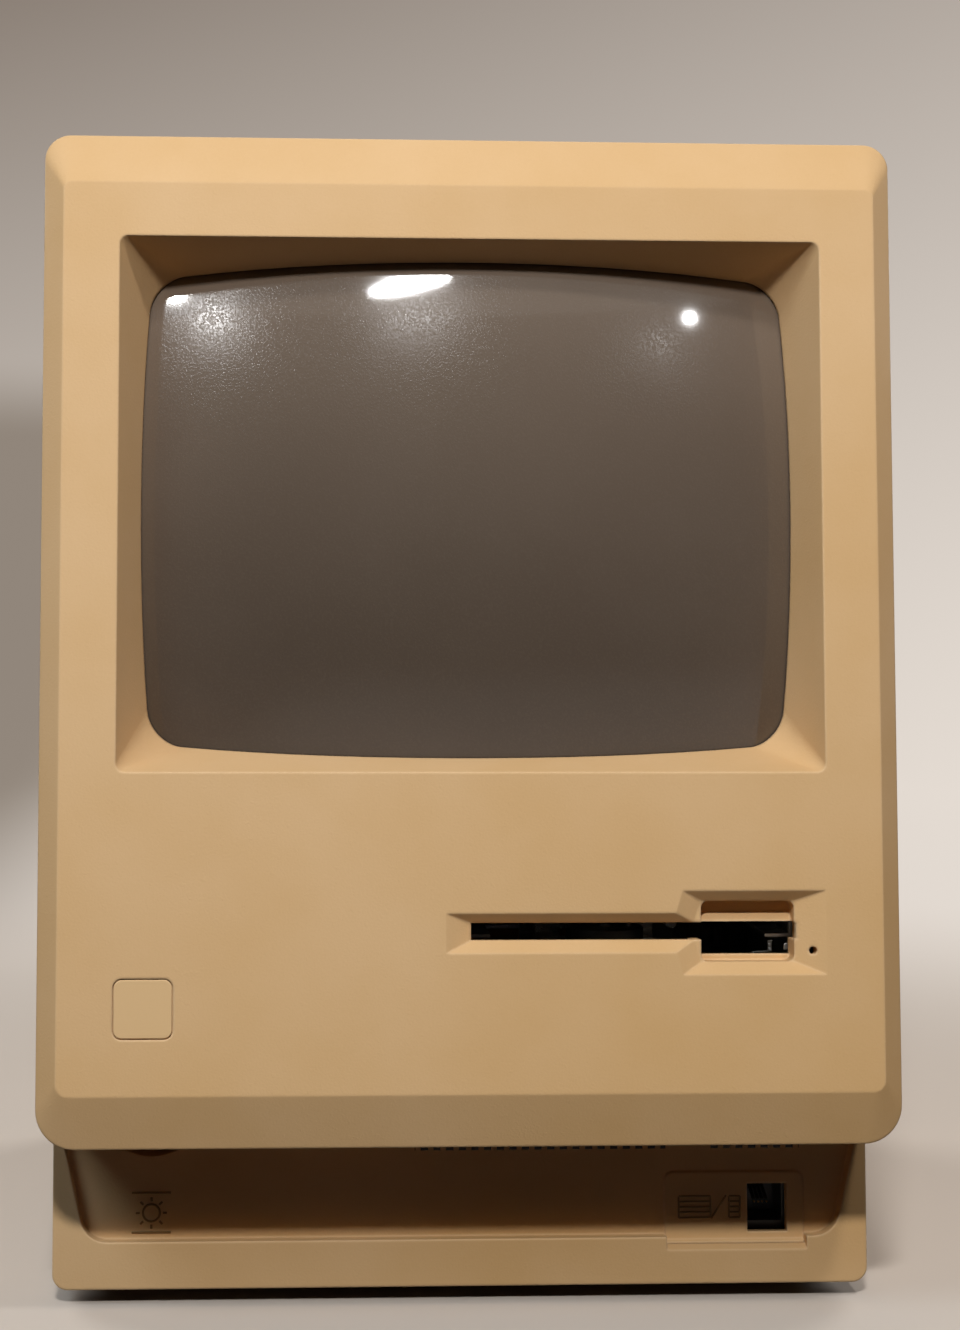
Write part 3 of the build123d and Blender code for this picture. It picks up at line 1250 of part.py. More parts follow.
# ------------------------------------------------------------------ logic board
board_top = board_z + board_thickness
jack_body_front_w = jack_pad_raise - kick_back - wall - 2 * jack_pad_raise - 0.4
jack_body_front_v = up_face((jack_low + jack_high) / 2, jack_body_front_w)
jack_body_front_y = face_y(jack_body_front_v, jack_body_front_w)
with BuildPart() as logic_board:
    with BuildSketch(Plane.XY.offset(board_z)):
        with Locations((0, (board_front_y + board_rear_y) / 2)):
            Rectangle(2 * board_half_width, board_rear_y - board_front_y)
        with Locations((-board_half_width, board_rear_y)):
            Rectangle(16, 34, mode=Mode.SUBTRACT)
        with Locations((jack_x, board_front_y - 8)):
            Rectangle(24, 18)
    extrude(amount=board_thickness)
logic_board.part.label = "logic_board"
export_step(logic_board.part, "parts/logic_board.step")


def chips(name, size, places):
    """A group of like integrated circuits, each a moulded body on two folded rows of legs."""
    long, wide, tall = size
    with BuildPart() as group:
        with Locations(*[(x, y, board_top + 0.6) for x, y in places]):
            Box(long, wide, tall, align=BOTTOM)
            with Locations((-long / 2, 0, tall)):
                Cylinder(1.0, 0.5, align=TOP, mode=Mode.SUBTRACT)
        with Locations(*[
            (x, y + side * (wide / 2 + 0.2), board_top) for x, y in places for side in (-1, 1)
        ]):
            Box(long - 2.0, 0.5, tall * 0.6, align=BOTTOM)
    group.part.label = name
    export_step(group.part, "parts/" + name + ".step")


memory_x = 25.5 - board_half_width
logic_x = board_half_width - 69.5
processor_x = 69.5 - board_half_width
chip_row_y = board_front_y + 22.0
rear_row_y = chip_row_y + 108.0
chips("processor", (81.0, 18.0, 4.0), [(processor_x, chip_row_y + 68.0)])
chips("rom_chips", (36.0, 13.6, 4.0), [(processor_x + 66.0, chip_row_y + y) for y in (58.0, 80.0)])
chips(
    "memory_chips", (20.0, 6.6, 3.6),
    [(memory_x + 24.0 * n, chip_row_y + 14.0 * m) for n in range(4) for m in range(3)],
)
chips(
    "logic_chips", (24.0, 6.6, 3.6),
    [(logic_x + 30.0 * n, chip_row_y + 2.0 + 14.0 * m) for n in range(2) for m in range(3)],
)
chips(
    "controller_chips", (36.0, 13.6, 4.0),
    [(board_half_width + x, rear_row_y + y) for x, y in ((-179.5, 0), (-129.5, 0), (-79.5, 0), (-33.5, -20))],
)

board_button_x = 7.0 - chassis_half_width
with BuildPart() as board_buttons:
    for y in button_places.values():
        block((board_button_x, board_button_x + 8.0), (y - 3, y + 3), (board_top, board_top + 9))
board_buttons.part.label = "board_buttons"
export_step(board_buttons.part, "parts/board_buttons.step")

# ------------------------------------------------------------------ rear ports
port_back_n = -port_recess - case_wall
for name, (p, wide) in ports.items():
    with BuildPart() as port:
        # mounting flange behind the panel, D shell through it, contact block and body
        with BuildSketch(rear.offset(port_back_n)):
            with Locations((p, port_q)):
                RectangleRounded(wide + 12.0, 11.4, 2.0)
        extrude(amount=-1.2)
        with BuildSketch(rear.offset(port_back_n)):
            with Locations((p, port_q)):
                add(d_outline(wide, shell_height))
        extrude(amount=6.5)
        with BuildSketch(rear.offset(port_back_n + 6.5)):
            with Locations((p, port_q)):
                add(d_outline(wide - 1.2, shell_height - 1.2))
        extrude(amount=-1.0, mode=Mode.SUBTRACT)
        block(
            (-p - wide / 2, -p + wide / 2), (board_rear_y - 10.0, rear_y(port_q, port_back_n) - 1.0),
            (board_top, board_top + 11.0),
        )
    port.part.label = name
    export_step(port.part, "parts/" + name + ".step")

with BuildPart() as audio_jack:
    with Locations(rear.offset(port_back_n) * Pos(audio_p, port_q, 0)):
        Box(9.0, 9.0, 12.0, align=TOP)
        Cylinder(3.9, 5.0, align=BOTTOM)
        with Locations((0, 0, 5.0)):
            Cylinder(audio_radius, 14.0, align=TOP, mode=Mode.SUBTRACT)
    block(
        (-audio_p - 4.5, -audio_p + 4.5), (board_rear_y - 8.0, board_rear_y - 2.0),
        (board_top, board_top + 9.0),
    )
audio_jack.part.label = "audio_jack"
export_step(audio_jack.part, "parts/audio_jack.step")

# ------------------------------------------------------------------ keyboard jack
jack_length = 17.0
with BuildPart() as keyboard_jack:
    block(
        (jack_x - jack_width / 2 - 1.5, jack_x + jack_width / 2 + 1.5),
        (jack_body_front_y + 1.0, jack_body_front_y + jack_length), (board_top, jack_high + 1.8),
    )
    with BuildSketch(Plane.XZ.offset(-jack_body_front_y - 1.0)):
        with Locations((jack_x, (jack_low + jack_high) / 2 + 0.4)):
            Rectangle(jack_width - 1.2, jack_high - jack_low - 3.0)
        with Locations((jack_x, jack_high - 1.4)):
            Rectangle(5.0, 2.4)
    extrude(amount=-12.0, mode=Mode.SUBTRACT)
    # spring contacts slanting across the top of the socket
    for n in range(4):
        x = jack_x - 2.0 + 1.27 * n
        with BuildSketch(Plane.YZ.offset(x)):
            base_y = jack_body_front_y + 13.6
            Polygon((base_y, jack_high - 4.0), (base_y, jack_high - 4.5),
                    (base_y - 8.0, jack_high - 7.5), (base_y - 8.0, jack_high - 7.0))
        extrude(amount=0.5, both=True)
keyboard_jack.part.label = "keyboard_jack"
export_step(keyboard_jack.part, "parts/keyboard_jack.step")

# ------------------------------------------------------------------ disk drive: cage and frame
drive_rear_y = drive_front_y + drive_length
drive_left = drive_x - drive_half_width
drive_right = drive_x + drive_half_width
slot_v = bottom_band + (slot_low + slot_high) / 2
disk_z = face_z(slot_v, panel_raise - groove_depth - notch_depth)
carriage_inside = 4.8
carriage_sheet = 1.0
carriage_half = disk_width / 2 + 1.8
carriage_low = disk_z - carriage_inside / 2 - carriage_sheet
carriage_high = disk_z + carriage_inside / 2 + carriage_sheet
carriage_front_y = drive_front_y + 3.0
carriage_rear_y = carriage_front_y + 90.0
pin_radius = 1.4
pin_ys = (carriage_front_y + 14.0, carriage_rear_y - 12.0)
pin_reach = 5.6
slider_gap = 1.3
slider_sheet = 0.8
ramp_clearance = 0.35

with BuildPart() as drive_cage:
    cage_y = (drive_front_y + 23, drive_rear_y - 6)
    block((drive_left - sheet, drive_right + sheet), cage_y, (shelf_z + sheet, drive_floor_z))
    for x in (drive_left - sheet, drive_right):
        block((x, x + sheet), cage_y, (drive_floor_z, drive_floor_z + 14))
    with BuildSketch(Plane.XY.offset(shelf_z)):
        with Locations((drive_x, hub_y + 28)):
            RectangleRounded(60, 90, 6)
    extrude(amount=4 * sheet, mode=Mode.SUBTRACT)
drive_cage.part.label = "drive_cage"
export_step(drive_cage.part, "parts/drive_cage.step")

with BuildPart() as drive_frame:
    with BuildSketch(Plane.XZ.offset(-drive_rear_y)):
        with Locations((drive_x, drive_floor_z + drive_wall_height / 2)):
            Rectangle(2 * drive_half_width, drive_wall_height)
            with Locations((0, drive_sheet)):
                Rectangle(2 * (drive_half_width - drive_sheet), drive_wall_height, mode=Mode.SUBTRACT)
    extrude(amount=drive_length)
    # upright slots that hold the carriage's pins fore and aft
    with BuildSketch(Plane.YZ.offset(drive_left)):
        for y in pin_ys:
            with Locations((y, disk_z - carriage_drop / 2)):
                SlotOverall(
                    carriage_drop + 2 * (pin_radius + ramp_clearance), 2 * (pin_radius + ramp_clearance),
                    rotation=90,
                )
    extrude(amount=2 * drive_half_width, mode=Mode.SUBTRACT)
    # lightened side walls behind the carriage, and the hole under the spindle motor
    with BuildSketch(Plane.YZ.offset(drive_left)):
        with Locations((drive_rear_y - 26, drive_floor_z + 22)):
            RectangleRounded(36, 20, 4)
    extrude(amount=2 * drive_half_width, mode=Mode.SUBTRACT)
    with BuildSketch(Plane.XY.offset(drive_floor_z)):
        with Locations((drive_x, hub_y)):
            Circle(10)
        with Locations((drive_x - 34, hub_y + 58), (drive_x + 38, hub_y - 2)):
            RectangleRounded(14, 40, 3)
    extrude(amount=drive_sheet, mode=Mode.SUBTRACT)
drive_frame.part.label = "drive_frame"
export_step(drive_frame.part, "parts/drive_frame.step")

# ------------------------------------------------------------------ disk drive: carriage and slider
with BuildPart() as disk_carriage:
    with BuildSketch(Plane.XZ.offset(-carriage_rear_y)):
        with Locations((drive_x, disk_z)):
            Rectangle(2 * (carriage_half + carriage_sheet), carriage_high - carriage_low)
            Rectangle(2 * carriage_half, carriage_inside, mode=Mode.SUBTRACT)
            with Locations((0, -carriage_inside)):
                Rectangle(2 * carriage_half - 14, carriage_inside, mode=Mode.SUBTRACT)
    extrude(amount=carriage_rear_y - carriage_front_y)
    # window for the upper head arm, and the flared mouth
    with BuildSketch(Plane.XY.offset(disk_z)):
        with Locations((drive_x, carriage_rear_y)):
            RectangleRounded(26, 2 * 46, 3)
        with Locations((drive_x, carriage_front_y)):
            RectangleRounded(34, 24, 6)
    extrude(amount=20, mode=Mode.SUBTRACT)
    # stop tabs at the back
    for x in (-1, 1):
        block(
            (drive_x + x * (carriage_half - 6) - 3, drive_x + x * (carriage_half - 6) + 3),
            (carriage_rear_y - carriage_sheet, carriage_rear_y), (carriage_low, carriage_high),
        )
    # guide pins
    with Locations(*[
        Plane.YZ.offset(drive_x + side * (carriage_half + carriage_sheet / 2)) * Pos(y, disk_z, 0) *
        Rot(0, 90 - 90 * side, 0)
        for side in (-1, 1) for y in pin_ys
    ]):
        Cylinder(pin_radius, pin_reach, align=BOTTOM)
disk_carriage.part.label = "disk_carriage"
export_step(disk_carriage.part, "parts/disk_carriage.step")

# the slider moves towards the face by its travel while the pins drop along its ramps
slider_low = drive_floor_z + drive_sheet + 1.0
slider_front_y = drive_front_y + 1.0
slider_rear_y = pin_ys[1] + 22.0
slider_inner = carriage_half + carriage_sheet + slider_gap
with BuildPart() as eject_slider:
    for side in (-1, 1):
        left = drive_x + side * (slider_inner + slider_sheet / 2) - slider_sheet / 2
        block(
            (left, left + slider_sheet), (slider_front_y + 11, slider_rear_y),
            (slider_low, disk_z + 4.5),
        )
    block(
        (drive_x - slider_inner - slider_sheet, drive_x + slider_inner + slider_sheet),
        (slider_front_y + 11, slider_front_y + 17), (slider_low, slider_low + slider_sheet),
    )
    # ramp slots
    run = (slider_travel ** 2 + carriage_drop ** 2) ** 0.5
    with BuildSketch(Plane.YZ.offset(drive_left)):
        for y in pin_ys:
            with Locations((y + slider_travel / 2, disk_z - carriage_drop / 2)):
                SlotOverall(
                    run + 2 * (pin_radius + ramp_clearance), 2 * (pin_radius + ramp_clearance),
                    rotation=-26.565,
                )
    extrude(amount=2 * drive_half_width, mode=Mode.SUBTRACT)
    # the tab behind the emergency eject hole
    eject_z = face_z(bottom_band + eject_rise, -wall)
    block(
        (eject_x - 1.8, drive_right - drive_sheet - 0.2), (slider_front_y + 11, slider_front_y + 12),
        (eject_z - 4, eject_z + 3),
    )
eject_slider.part.label = "eject_slider"
export_step(eject_slider.part, "parts/eject_slider.step")

# ------------------------------------------------------------------ disk drive: spindle
rotor_z = drive_floor_z + drive_sheet + 9.0
hub_top_z = disk_z - disk_thickness / 2 - carriage_drop + 0.6
hub_shaft_radius = 2.5
with BuildPart() as spindle_motor:
    with Locations((drive_x, hub_y, drive_floor_z + drive_sheet)):
        Cylinder(25, 1.6, align=BOTTOM)
        Cylinder(20, 7.5, align=BOTTOM)
        Cylinder(hub_shaft_radius + running_gap, 30, mode=Mode.SUBTRACT)
spindle_motor.part.label = "spindle_motor"
export_step(spindle_motor.part, "parts/spindle_motor.step")

with BuildPart() as spindle_hub:
    with Locations((drive_x, hub_y, rotor_z)):
        Cylinder(25, 3.0, align=BOTTOM)
        Cylinder(12, hub_top_z - rotor_z - 1.0, align=BOTTOM)
        Cylinder(2.0, hub_top_z - rotor_z, align=BOTTOM)
        Cylinder(hub_shaft_radius, 9.0, align=TOP)
        with Locations((7.5, 0, 0)):
            Cylinder(1.2, hub_top_z - rotor_z, align=BOTTOM)
    with Locations((drive_x, hub_y, rotor_z)):
        with PolarLocations(18, 6):
            Cylinder(3.5, 10, mode=Mode.SUBTRACT)
spindle_hub.part.label = "spindle_hub"
export_step(spindle_hub.part, "parts/spindle_hub.step")

# ------------------------------------------------------------------ disk drive: head and its screw
rail_z = drive_floor_z + drive_sheet + 15.3
rail_radius = 2.0
rail_offset = 15.0
rail_front_y = hub_y + 24.0
rail_rear_y = hub_y + 77.0
head_y = hub_y + 52.0
lead_x = drive_x + 26.0
lead_radius = 2.0
motor_front_y = rail_rear_y + 2.0
with BuildPart() as head_rails:
    with Locations(*[
        Plane.XZ.offset(-rail_rear_y) * Pos(drive_x + side * rail_offset, rail_z, 0) for side in (-1, 1)
    ]):
        Cylinder(rail_radius, rail_rear_y - rail_front_y, align=BOTTOM)
    # the cradles that clamp the rail ends to the deck
    for side in (-1, 1):
        for y in (rail_front_y, rail_rear_y - 4.0):
            block(
                (drive_x + side * rail_offset - 4, drive_x + side * rail_offset + 4), (y, y + 4.0),
                (drive_floor_z + drive_sheet, rail_z + rail_radius + 1.0),
            )
head_rails.part.label = "head_rails"
export_step(head_rails.part, "parts/head_rails.step")

with BuildPart() as head_carriage:
    with Locations((drive_x, head_y, rail_z)):
        Box(2 * (rail_offset + 5), 16, 6)
        with Locations((lead_x - drive_x - 2.0, 0, 0)):
            Box(12, 8, 6)
    for side in (-1, 1):
        with Locations(Plane.XZ.offset(-head_y) * Pos(drive_x + side * rail_offset, rail_z, 0)):
            Cylinder(rail_radius + running_gap, 60, mode=Mode.SUBTRACT)
    with Locations(Plane.XZ.offset(-head_y) * Pos(lead_x, rail_z, 0)):
        Cylinder(lead_radius + running_gap, 60, mode=Mode.SUBTRACT)
    # lower head on its post, and the pad arm over the carriage
    block((drive_x - 5, drive_x + 5), (head_y - 16, head_y - 8), (rail_z - 1, rail_z + 2.6))
    with Locations((drive_x, head_y - 12, rail_z + 2.6)):
        Cylinder(3.0, hub_top_z - rail_z - 2.6, align=BOTTOM)
    arm_z = carriage_high + 2.0
    block((drive_x - 6, drive_x + 6), (head_y + 3, head_y + 8), (rail_z + 2, arm_z + 2))
    block((drive_x - 5, drive_x + 5), (head_y - 16, head_y + 8), (arm_z, arm_z + 2))
head_carriage.part.label = "head_carriage"
export_step(head_carriage.part, "parts/head_carriage.step")

with BuildPart() as stepper_motor:
    with Locations(Plane.XZ.offset(-motor_front_y) * Pos(lead_x, rail_z + 3.0, 0)):
        Cylinder(11.0, 16.0, align=TOP)
    with Locations(Plane.XZ.offset(-motor_front_y) * Pos(lead_x, rail_z, 0)):
        Cylinder(lead_radius + running_gap, 12.0, mode=Mode.SUBTRACT)
    block(
        (lead_x - 9, lead_x + 9), (motor_front_y, motor_front_y + 2),
        (drive_floor_z + drive_sheet, rail_z),
    )
    with Locations(Plane.XZ.offset(-motor_front_y) * Pos(lead_x, rail_z, 0)):
        Cylinder(lead_radius + running_gap, 12.0, mode=Mode.SUBTRACT)
stepper_motor.part.label = "stepper_motor"
export_step(stepper_motor.part, "parts/stepper_motor.step")

with BuildPart() as lead_screw:
    with Locations(Plane.XZ.offset(-motor_front_y - 5.0) * Pos(lead_x, rail_z, 0)):
        Cylinder(lead_radius, motor_front_y + 5.0 - head_y + 22.0, align=BOTTOM)
lead_screw.part.label = "lead_screw"
export_step(lead_screw.part, "parts/lead_screw.step")

with BuildPart() as drive_board:
    top_z = drive_floor_z + drive_wall_height
    block((drive_left, drive_right), (hub_y + 56, drive_rear_y), (top_z, top_z + board_thickness))
    with BuildSketch(Plane.XY.offset(top_z)):
        with Locations((drive_x, hub_y + 60)):
            Rectangle(30, 20)
    extrude(amount=2 * board_thickness, mode=Mode.SUBTRACT)
    with Locations(*[(x, drive_rear_y - 19, top_z + board_thickness) for x in (drive_x - 26, drive_x + 26)]):
        Box(32, 12, 3.6, align=BOTTOM)
    with Locations((drive_x, drive_rear_y - 5, top_z + board_thickness)):
        Box(28, 6, 8, align=BOTTOM)
drive_board.part.label = "drive_board"
export_step(drive_board.part, "parts/drive_board.step")
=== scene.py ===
import json
from math import cos, pi, radians, sin

import bmesh
import bpy
from mathutils import Matrix, Quaternion, Vector

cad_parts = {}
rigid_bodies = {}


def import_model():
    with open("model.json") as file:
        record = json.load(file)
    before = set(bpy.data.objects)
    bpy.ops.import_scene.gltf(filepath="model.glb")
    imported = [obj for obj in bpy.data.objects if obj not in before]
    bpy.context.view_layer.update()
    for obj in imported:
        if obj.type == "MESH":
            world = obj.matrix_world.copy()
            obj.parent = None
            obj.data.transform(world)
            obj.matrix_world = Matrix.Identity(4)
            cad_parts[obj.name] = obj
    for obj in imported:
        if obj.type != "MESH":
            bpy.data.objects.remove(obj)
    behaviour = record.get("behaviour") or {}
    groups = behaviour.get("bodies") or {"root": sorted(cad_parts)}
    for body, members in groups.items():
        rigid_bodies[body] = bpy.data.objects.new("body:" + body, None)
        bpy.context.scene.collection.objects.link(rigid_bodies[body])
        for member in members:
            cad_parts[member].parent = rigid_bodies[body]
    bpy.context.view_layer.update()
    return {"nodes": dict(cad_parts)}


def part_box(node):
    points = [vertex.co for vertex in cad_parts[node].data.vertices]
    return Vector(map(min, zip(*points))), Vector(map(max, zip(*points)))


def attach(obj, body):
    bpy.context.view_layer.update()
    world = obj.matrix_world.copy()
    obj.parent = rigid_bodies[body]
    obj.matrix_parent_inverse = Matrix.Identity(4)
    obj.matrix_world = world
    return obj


for leftover in list(bpy.data.objects):
    bpy.data.objects.remove(leftover)
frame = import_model()
nodes = frame["nodes"]

# ---------------------------------------------------------------- front bezel
# The front of the housing is one injection moulding in a warm beige plastic that has yellowed with
# age. The tool's surface is spark-eroded, so every outer face carries the same fine sandy grain,
# and the corners are rounded by about a millimetre.


class Value:
    """One socket of a node tree, which can be added, multiplied and compared like a number."""

    def __init__(self, tree, socket=None):
        self.tree = tree
        self.socket = socket

    def node(self, kind, settings=None, sockets=None, output=0):
        made = self.tree.nodes.new(kind)
        for name, setting in (settings or {}).items():
            if name == "stops":
                ramp = made.color_ramp
                while len(ramp.elements) < len(setting):
                    ramp.elements.new(0.5)
                for element, (position, colour) in zip(ramp.elements, setting):
                    element.position = position
                    element.color = colour
            else:
                setattr(made, name, setting)
        for name, value in (sockets or {}).items():
            if isinstance(value, Value):
                self.tree.links.new(value.socket, made.inputs[name])
            else:
                made.inputs[name].default_value = value
        return Value(self.tree, made.outputs[output])

    def math(self, operation, first, second=0.0):
        return self.node("ShaderNodeMath", {"operation": operation}, {0: first, 1: second})

    def __add__(self, other):
        return self.math("ADD", self, other)

    __radd__ = __add__

    def __sub__(self, other):
        return self.math("SUBTRACT", self, other)

    def __rsub__(self, other):
        return self.math("SUBTRACT", other, self)

    def __mul__(self, other):
        return self.math("MULTIPLY", self, other)

    __rmul__ = __mul__

    def __lt__(self, other):
        return self.math("LESS_THAN", self, other)

    def __gt__(self, other):
        return self.math("GREATER_THAN", self, other)

    def step(self, low, high):
        """0 below the low value, 1 above the high one, and smooth in between."""
        return self.node(
            "ShaderNodeMapRange",
            {"interpolation_type": "SMOOTHSTEP"},
            {"Value": self, "From Min": low, "From Max": high},
        )

    def axes(self):
        split = self.node("ShaderNodeSeparateXYZ", {}, {"Vector": self})
        return [Value(self.tree, s) for s in split.socket.node.outputs]

    def vector(self, operation, first, second=(0.0, 0.0, 0.0), output=0):
        return self.node(
            "ShaderNodeVectorMath", {"operation": operation}, {0: first, 1: second}, output
        )

    def noise(self, scale, detail=2.0, stretch=None):
        place = self.vector("MULTIPLY", self, stretch) if stretch else self
        return self.node(
            "ShaderNodeTexNoise", {}, {"Vector": place, "Scale": scale, "Detail": detail}, "Fac"
        )

    def normal(self):
        """The direction in which the surface faces."""
        return self.node("ShaderNodeNewGeometry", output="Normal")

    def rounded(self, radius, samples=4):
        """That direction, with the sharp corners of the piece rounded off."""
        return self.node("ShaderNodeBevel", {"samples": samples}, {"Radius": radius})

    def mix(self, low, high):
        """The low colour where this is 0, the high one where it is 1."""
        return self.node("ShaderNodeMix", {"data_type": "RGBA"}, {0: self, 6: low, 7: high}, 2)

    def bump(self, distance, strength=1.0, normal=None):
        sockets = {"Height": self, "Distance": distance, "Strength": strength}
        if normal:
            sockets["Normal"] = normal
        return self.node("ShaderNodeBump", {}, sockets, "Normal")


def tone(code):
    """A colour written as six hexadecimal digits, as the shader needs it."""
    parts = [int(code[n:n + 2], 16) / 255 for n in (0, 2, 4)]
    return (*(p / 12.92 if p < 0.04045 else ((p + 0.055) / 1.055) ** 2.4 for p in parts), 1.0)


def new_finish(name):
    """A new empty material, and the place of the shaded point on its piece."""
    material = bpy.data.materials.new(name)
    material.use_nodes = True
    material.node_tree.nodes.clear()
    return material, Value(material.node_tree).node("ShaderNodeTexCoord", output="Object")


def surface(place, **sockets):
    """Ends a material in one surface; underscores in the names stand for spaces."""
    shader = place.node(
        "ShaderNodeBsdfPrincipled", {}, {n.replace("_", " "): v for n, v in sockets.items()}
    )
    end = place.tree.nodes.new("ShaderNodeOutputMaterial")
    place.tree.links.new(shader.socket, end.inputs["Surface"])


def cover(material, *names):
    """Gives a finish to whole pieces of the frame."""
    for name in names:
        nodes[name].data.materials.clear()
        nodes[name].data.materials.append(material)


def moulded(name, light, dark, edge_wear_and_highlight, roughness=0.52, corner=0.0011, grain=0.00007, painted_shade=None):
    """Grained plastic: slow changes of tone from ageing, rounded edges painted paler as a highlight
    and as handling wear, sandy relief.
    """
    material, place = new_finish(name)
    round_normal = place.rounded(corner, 6)
    flatness = place.vector("DOT_PRODUCT", round_normal, place.normal(), "Value")
    rim = 1.0 - flatness.step(0.86, 0.995)
    age = place.noise(5.0, 3.0).step(0.3, 0.75)
    cloud = place.noise(38.0, 4.0).step(0.25, 0.8)
    sand = place.noise(1500.0, 3.0)
    fleck = place.noise(620.0, 2.0).step(0.6, 0.75)
    base = (age * 0.6 + cloud * 0.28 + sand * 0.2).mix(tone(light), tone(dark))
    # painted highlight: the rounded edges are painted paler, partly as light catching them and
    # partly as handling wear
    base = (rim * 0.5).mix(base, tone(edge_wear_and_highlight))
    # painted shade: where the mask is set, the plastic is painted near black
    if painted_shade:
        base = painted_shade(*place.axes()).mix(base, tone("1A0F08"))
    surface(
        place,
        Base_Color=base,
        Roughness=cloud * 0.06 + roughness - rim * 0.16 + fleck * 0.03,
        Specular_IOR_Level=0.25,
        Normal=(sand + fleck * 0.4).bump(grain, 0.8, round_normal),
    )
    return material


def vent_slot_shade(x, y, z):
    """Painted shade: near-black dashes at the lower ends of the slots over the kick panel, where
    the openings lie in shade.
    """
    pitch, first_slot = 0.0038, -0.0130
    beside = x.math("ABSOLUTE", x.math("FLOORED_MODULO", x - first_slot, pitch) - pitch / 2)
    blank = (x > 0.0615) * (x < 0.0745) + (x < -0.0140) + (x > 0.1020)
    height = (z > 0.0434) * (z < 0.0450)
    depth = (y > -0.0950) * (y < -0.0860)
    return height * depth * (beside < 0.0011) * (1.0 - blank)


beige = moulded("aged_beige_plastic", "D9B487", "CDA46F", "EAC9A0", painted_shade=vent_slot_shade)
cover(beige, "front_bezel")

# ---------------------------------------------------------------- badge plate
# A small square plate lies flush in a pocket at the front's lower left. It is the same plastic,
# moulded against a polished tool, so it is smoother than the front round it. Its face is blank.
smooth_beige = moulded("smooth_beige_plastic", "DDB98A", "D3AD7B", "ECCDA3", 0.36, 0.0004, 0.00002)
cover(smooth_beige, "badge_plate")

# ---------------------------------------------------------------- marks on the kick panel
# Two small marks are moulded into the recess under the chin as fine raised lines: a sun between two
# bars under the brightness knob, and a keyboard and its lead beside the jack.
lean = radians(4.0)
chin_z = 0.0545
front_y = -0.13358
kick_back = 0.043


def on_kick_panel(x, z, proud=0.0):
    """The point of the kick panel at that place, or a little in front of it."""
    w = proud - kick_back
    v = (z - chin_z - w * sin(lean)) / cos(lean)
    return Vector((x, front_y + v * sin(lean) - w * cos(lean), z))


def plain_mesh(drawn):
    """What an object looks like once its modifiers and bevels are worked out; it is removed."""
    bpy.context.scene.collection.objects.link(drawn)
    depsgraph = bpy.context.evaluated_depsgraph_get()
    mesh = bpy.data.meshes.new_from_object(drawn.evaluated_get(depsgraph))
    bpy.data.objects.remove(drawn)
    return mesh


def round_wires(name, lines, radius, resolution=2):
    """Round bars, each along an open or closed line of points."""
    curve = bpy.data.curves.new(name, "CURVE")
    curve.dimensions = "3D"
    curve.bevel_depth = radius
    curve.bevel_resolution = resolution
    curve.use_fill_caps = True
    for points, closed in lines:
        spline = curve.splines.new("POLY")
        spline.points.add(len(points) - 1)
        for point, place in zip(spline.points, points):
            point.co = (*place, 1.0)
        spline.use_cyclic_u = closed
    return plain_mesh(bpy.data.objects.new(name, curve))


def new_piece(name, mesh, material, body):
    """A finished piece of the computer from a mesh that lies where the piece belongs."""
    piece = bpy.data.objects.new(name, mesh)
    bpy.context.scene.collection.objects.link(piece)
    mesh.materials.clear()
    mesh.materials.append(material)
    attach(piece, body)


def raised_lines(name, lines, radius, proud):
    """Rounded ribs half sunk in the kick panel, along lines of (x, z) points."""
    ribs = [([on_kick_panel(x, z, proud) for x, z in points], closed) for points, closed in lines]
    new_piece(name, round_wires(name, ribs, radius), shaded_beige, "root")


def bars(x0, x1, z0, z1, count):
    """A framed block of level bars."""
    rows = [z0 + (z1 - z0) * n / (count - 1) for n in range(count)]
    sides = [([(x, z0), (x, z1)], False) for x in (x0, x1)]
    return [([(x0, z), (x1, z)], False) for z in rows] + sides


# the ribs are painted darker than the panel, as shade along the raised lines
shaded_beige = moulded("rib_plastic", "8E6F47", "7C5F3C", "A08050", 0.6, 0.0002, 0.00002)


def round_the_sun(radius, turn):
    """A point at that distance from the middle of the sun, in that direction."""
    return (-0.0924 + radius * cos(turn), 0.0258 + radius * sin(turn))


disc_radius, ray_start, ray_end = 0.0025, 0.0034, 0.0046
disc = [round_the_sun(disc_radius, pi * n / 12) for n in range(24)]
rays = [([round_the_sun(r, pi * n / 4) for r in (ray_start, ray_end)], False) for n in range(8)]
limits = [([(-0.0982, z), (-0.0866, z)], False) for z in (0.0201, 0.0317)]
raised_lines("brightness_mark", [(disc, True)] + rays + limits, 0.00034, 0.00005)
keys_low, keys_high = 0.0231, 0.0294
keyboard = bars(0.0653, 0.0749, keys_low, keys_high, 5)
keyboard += bars(0.0805, 0.0838, keys_low, keys_high, 5)
lead_line = ([(0.0751, 0.0228), (0.0796, 0.0297)], False)
raised_lines("keyboard_mark", keyboard + [lead_line], 0.0003, 0.00065)

# ---------------------------------------------------------------- brightness control
# A knurled thumb wheel in the same beige turns behind the chin. Its shaft runs into a potentiometer
# with a brown phenolic body.
knob_plastic = moulded("knob_plastic", "CFA979", "C09866", "DDBB8E", 0.48, 0.0003, 0.00003)
cover(knob_plastic, "brightness_knob")


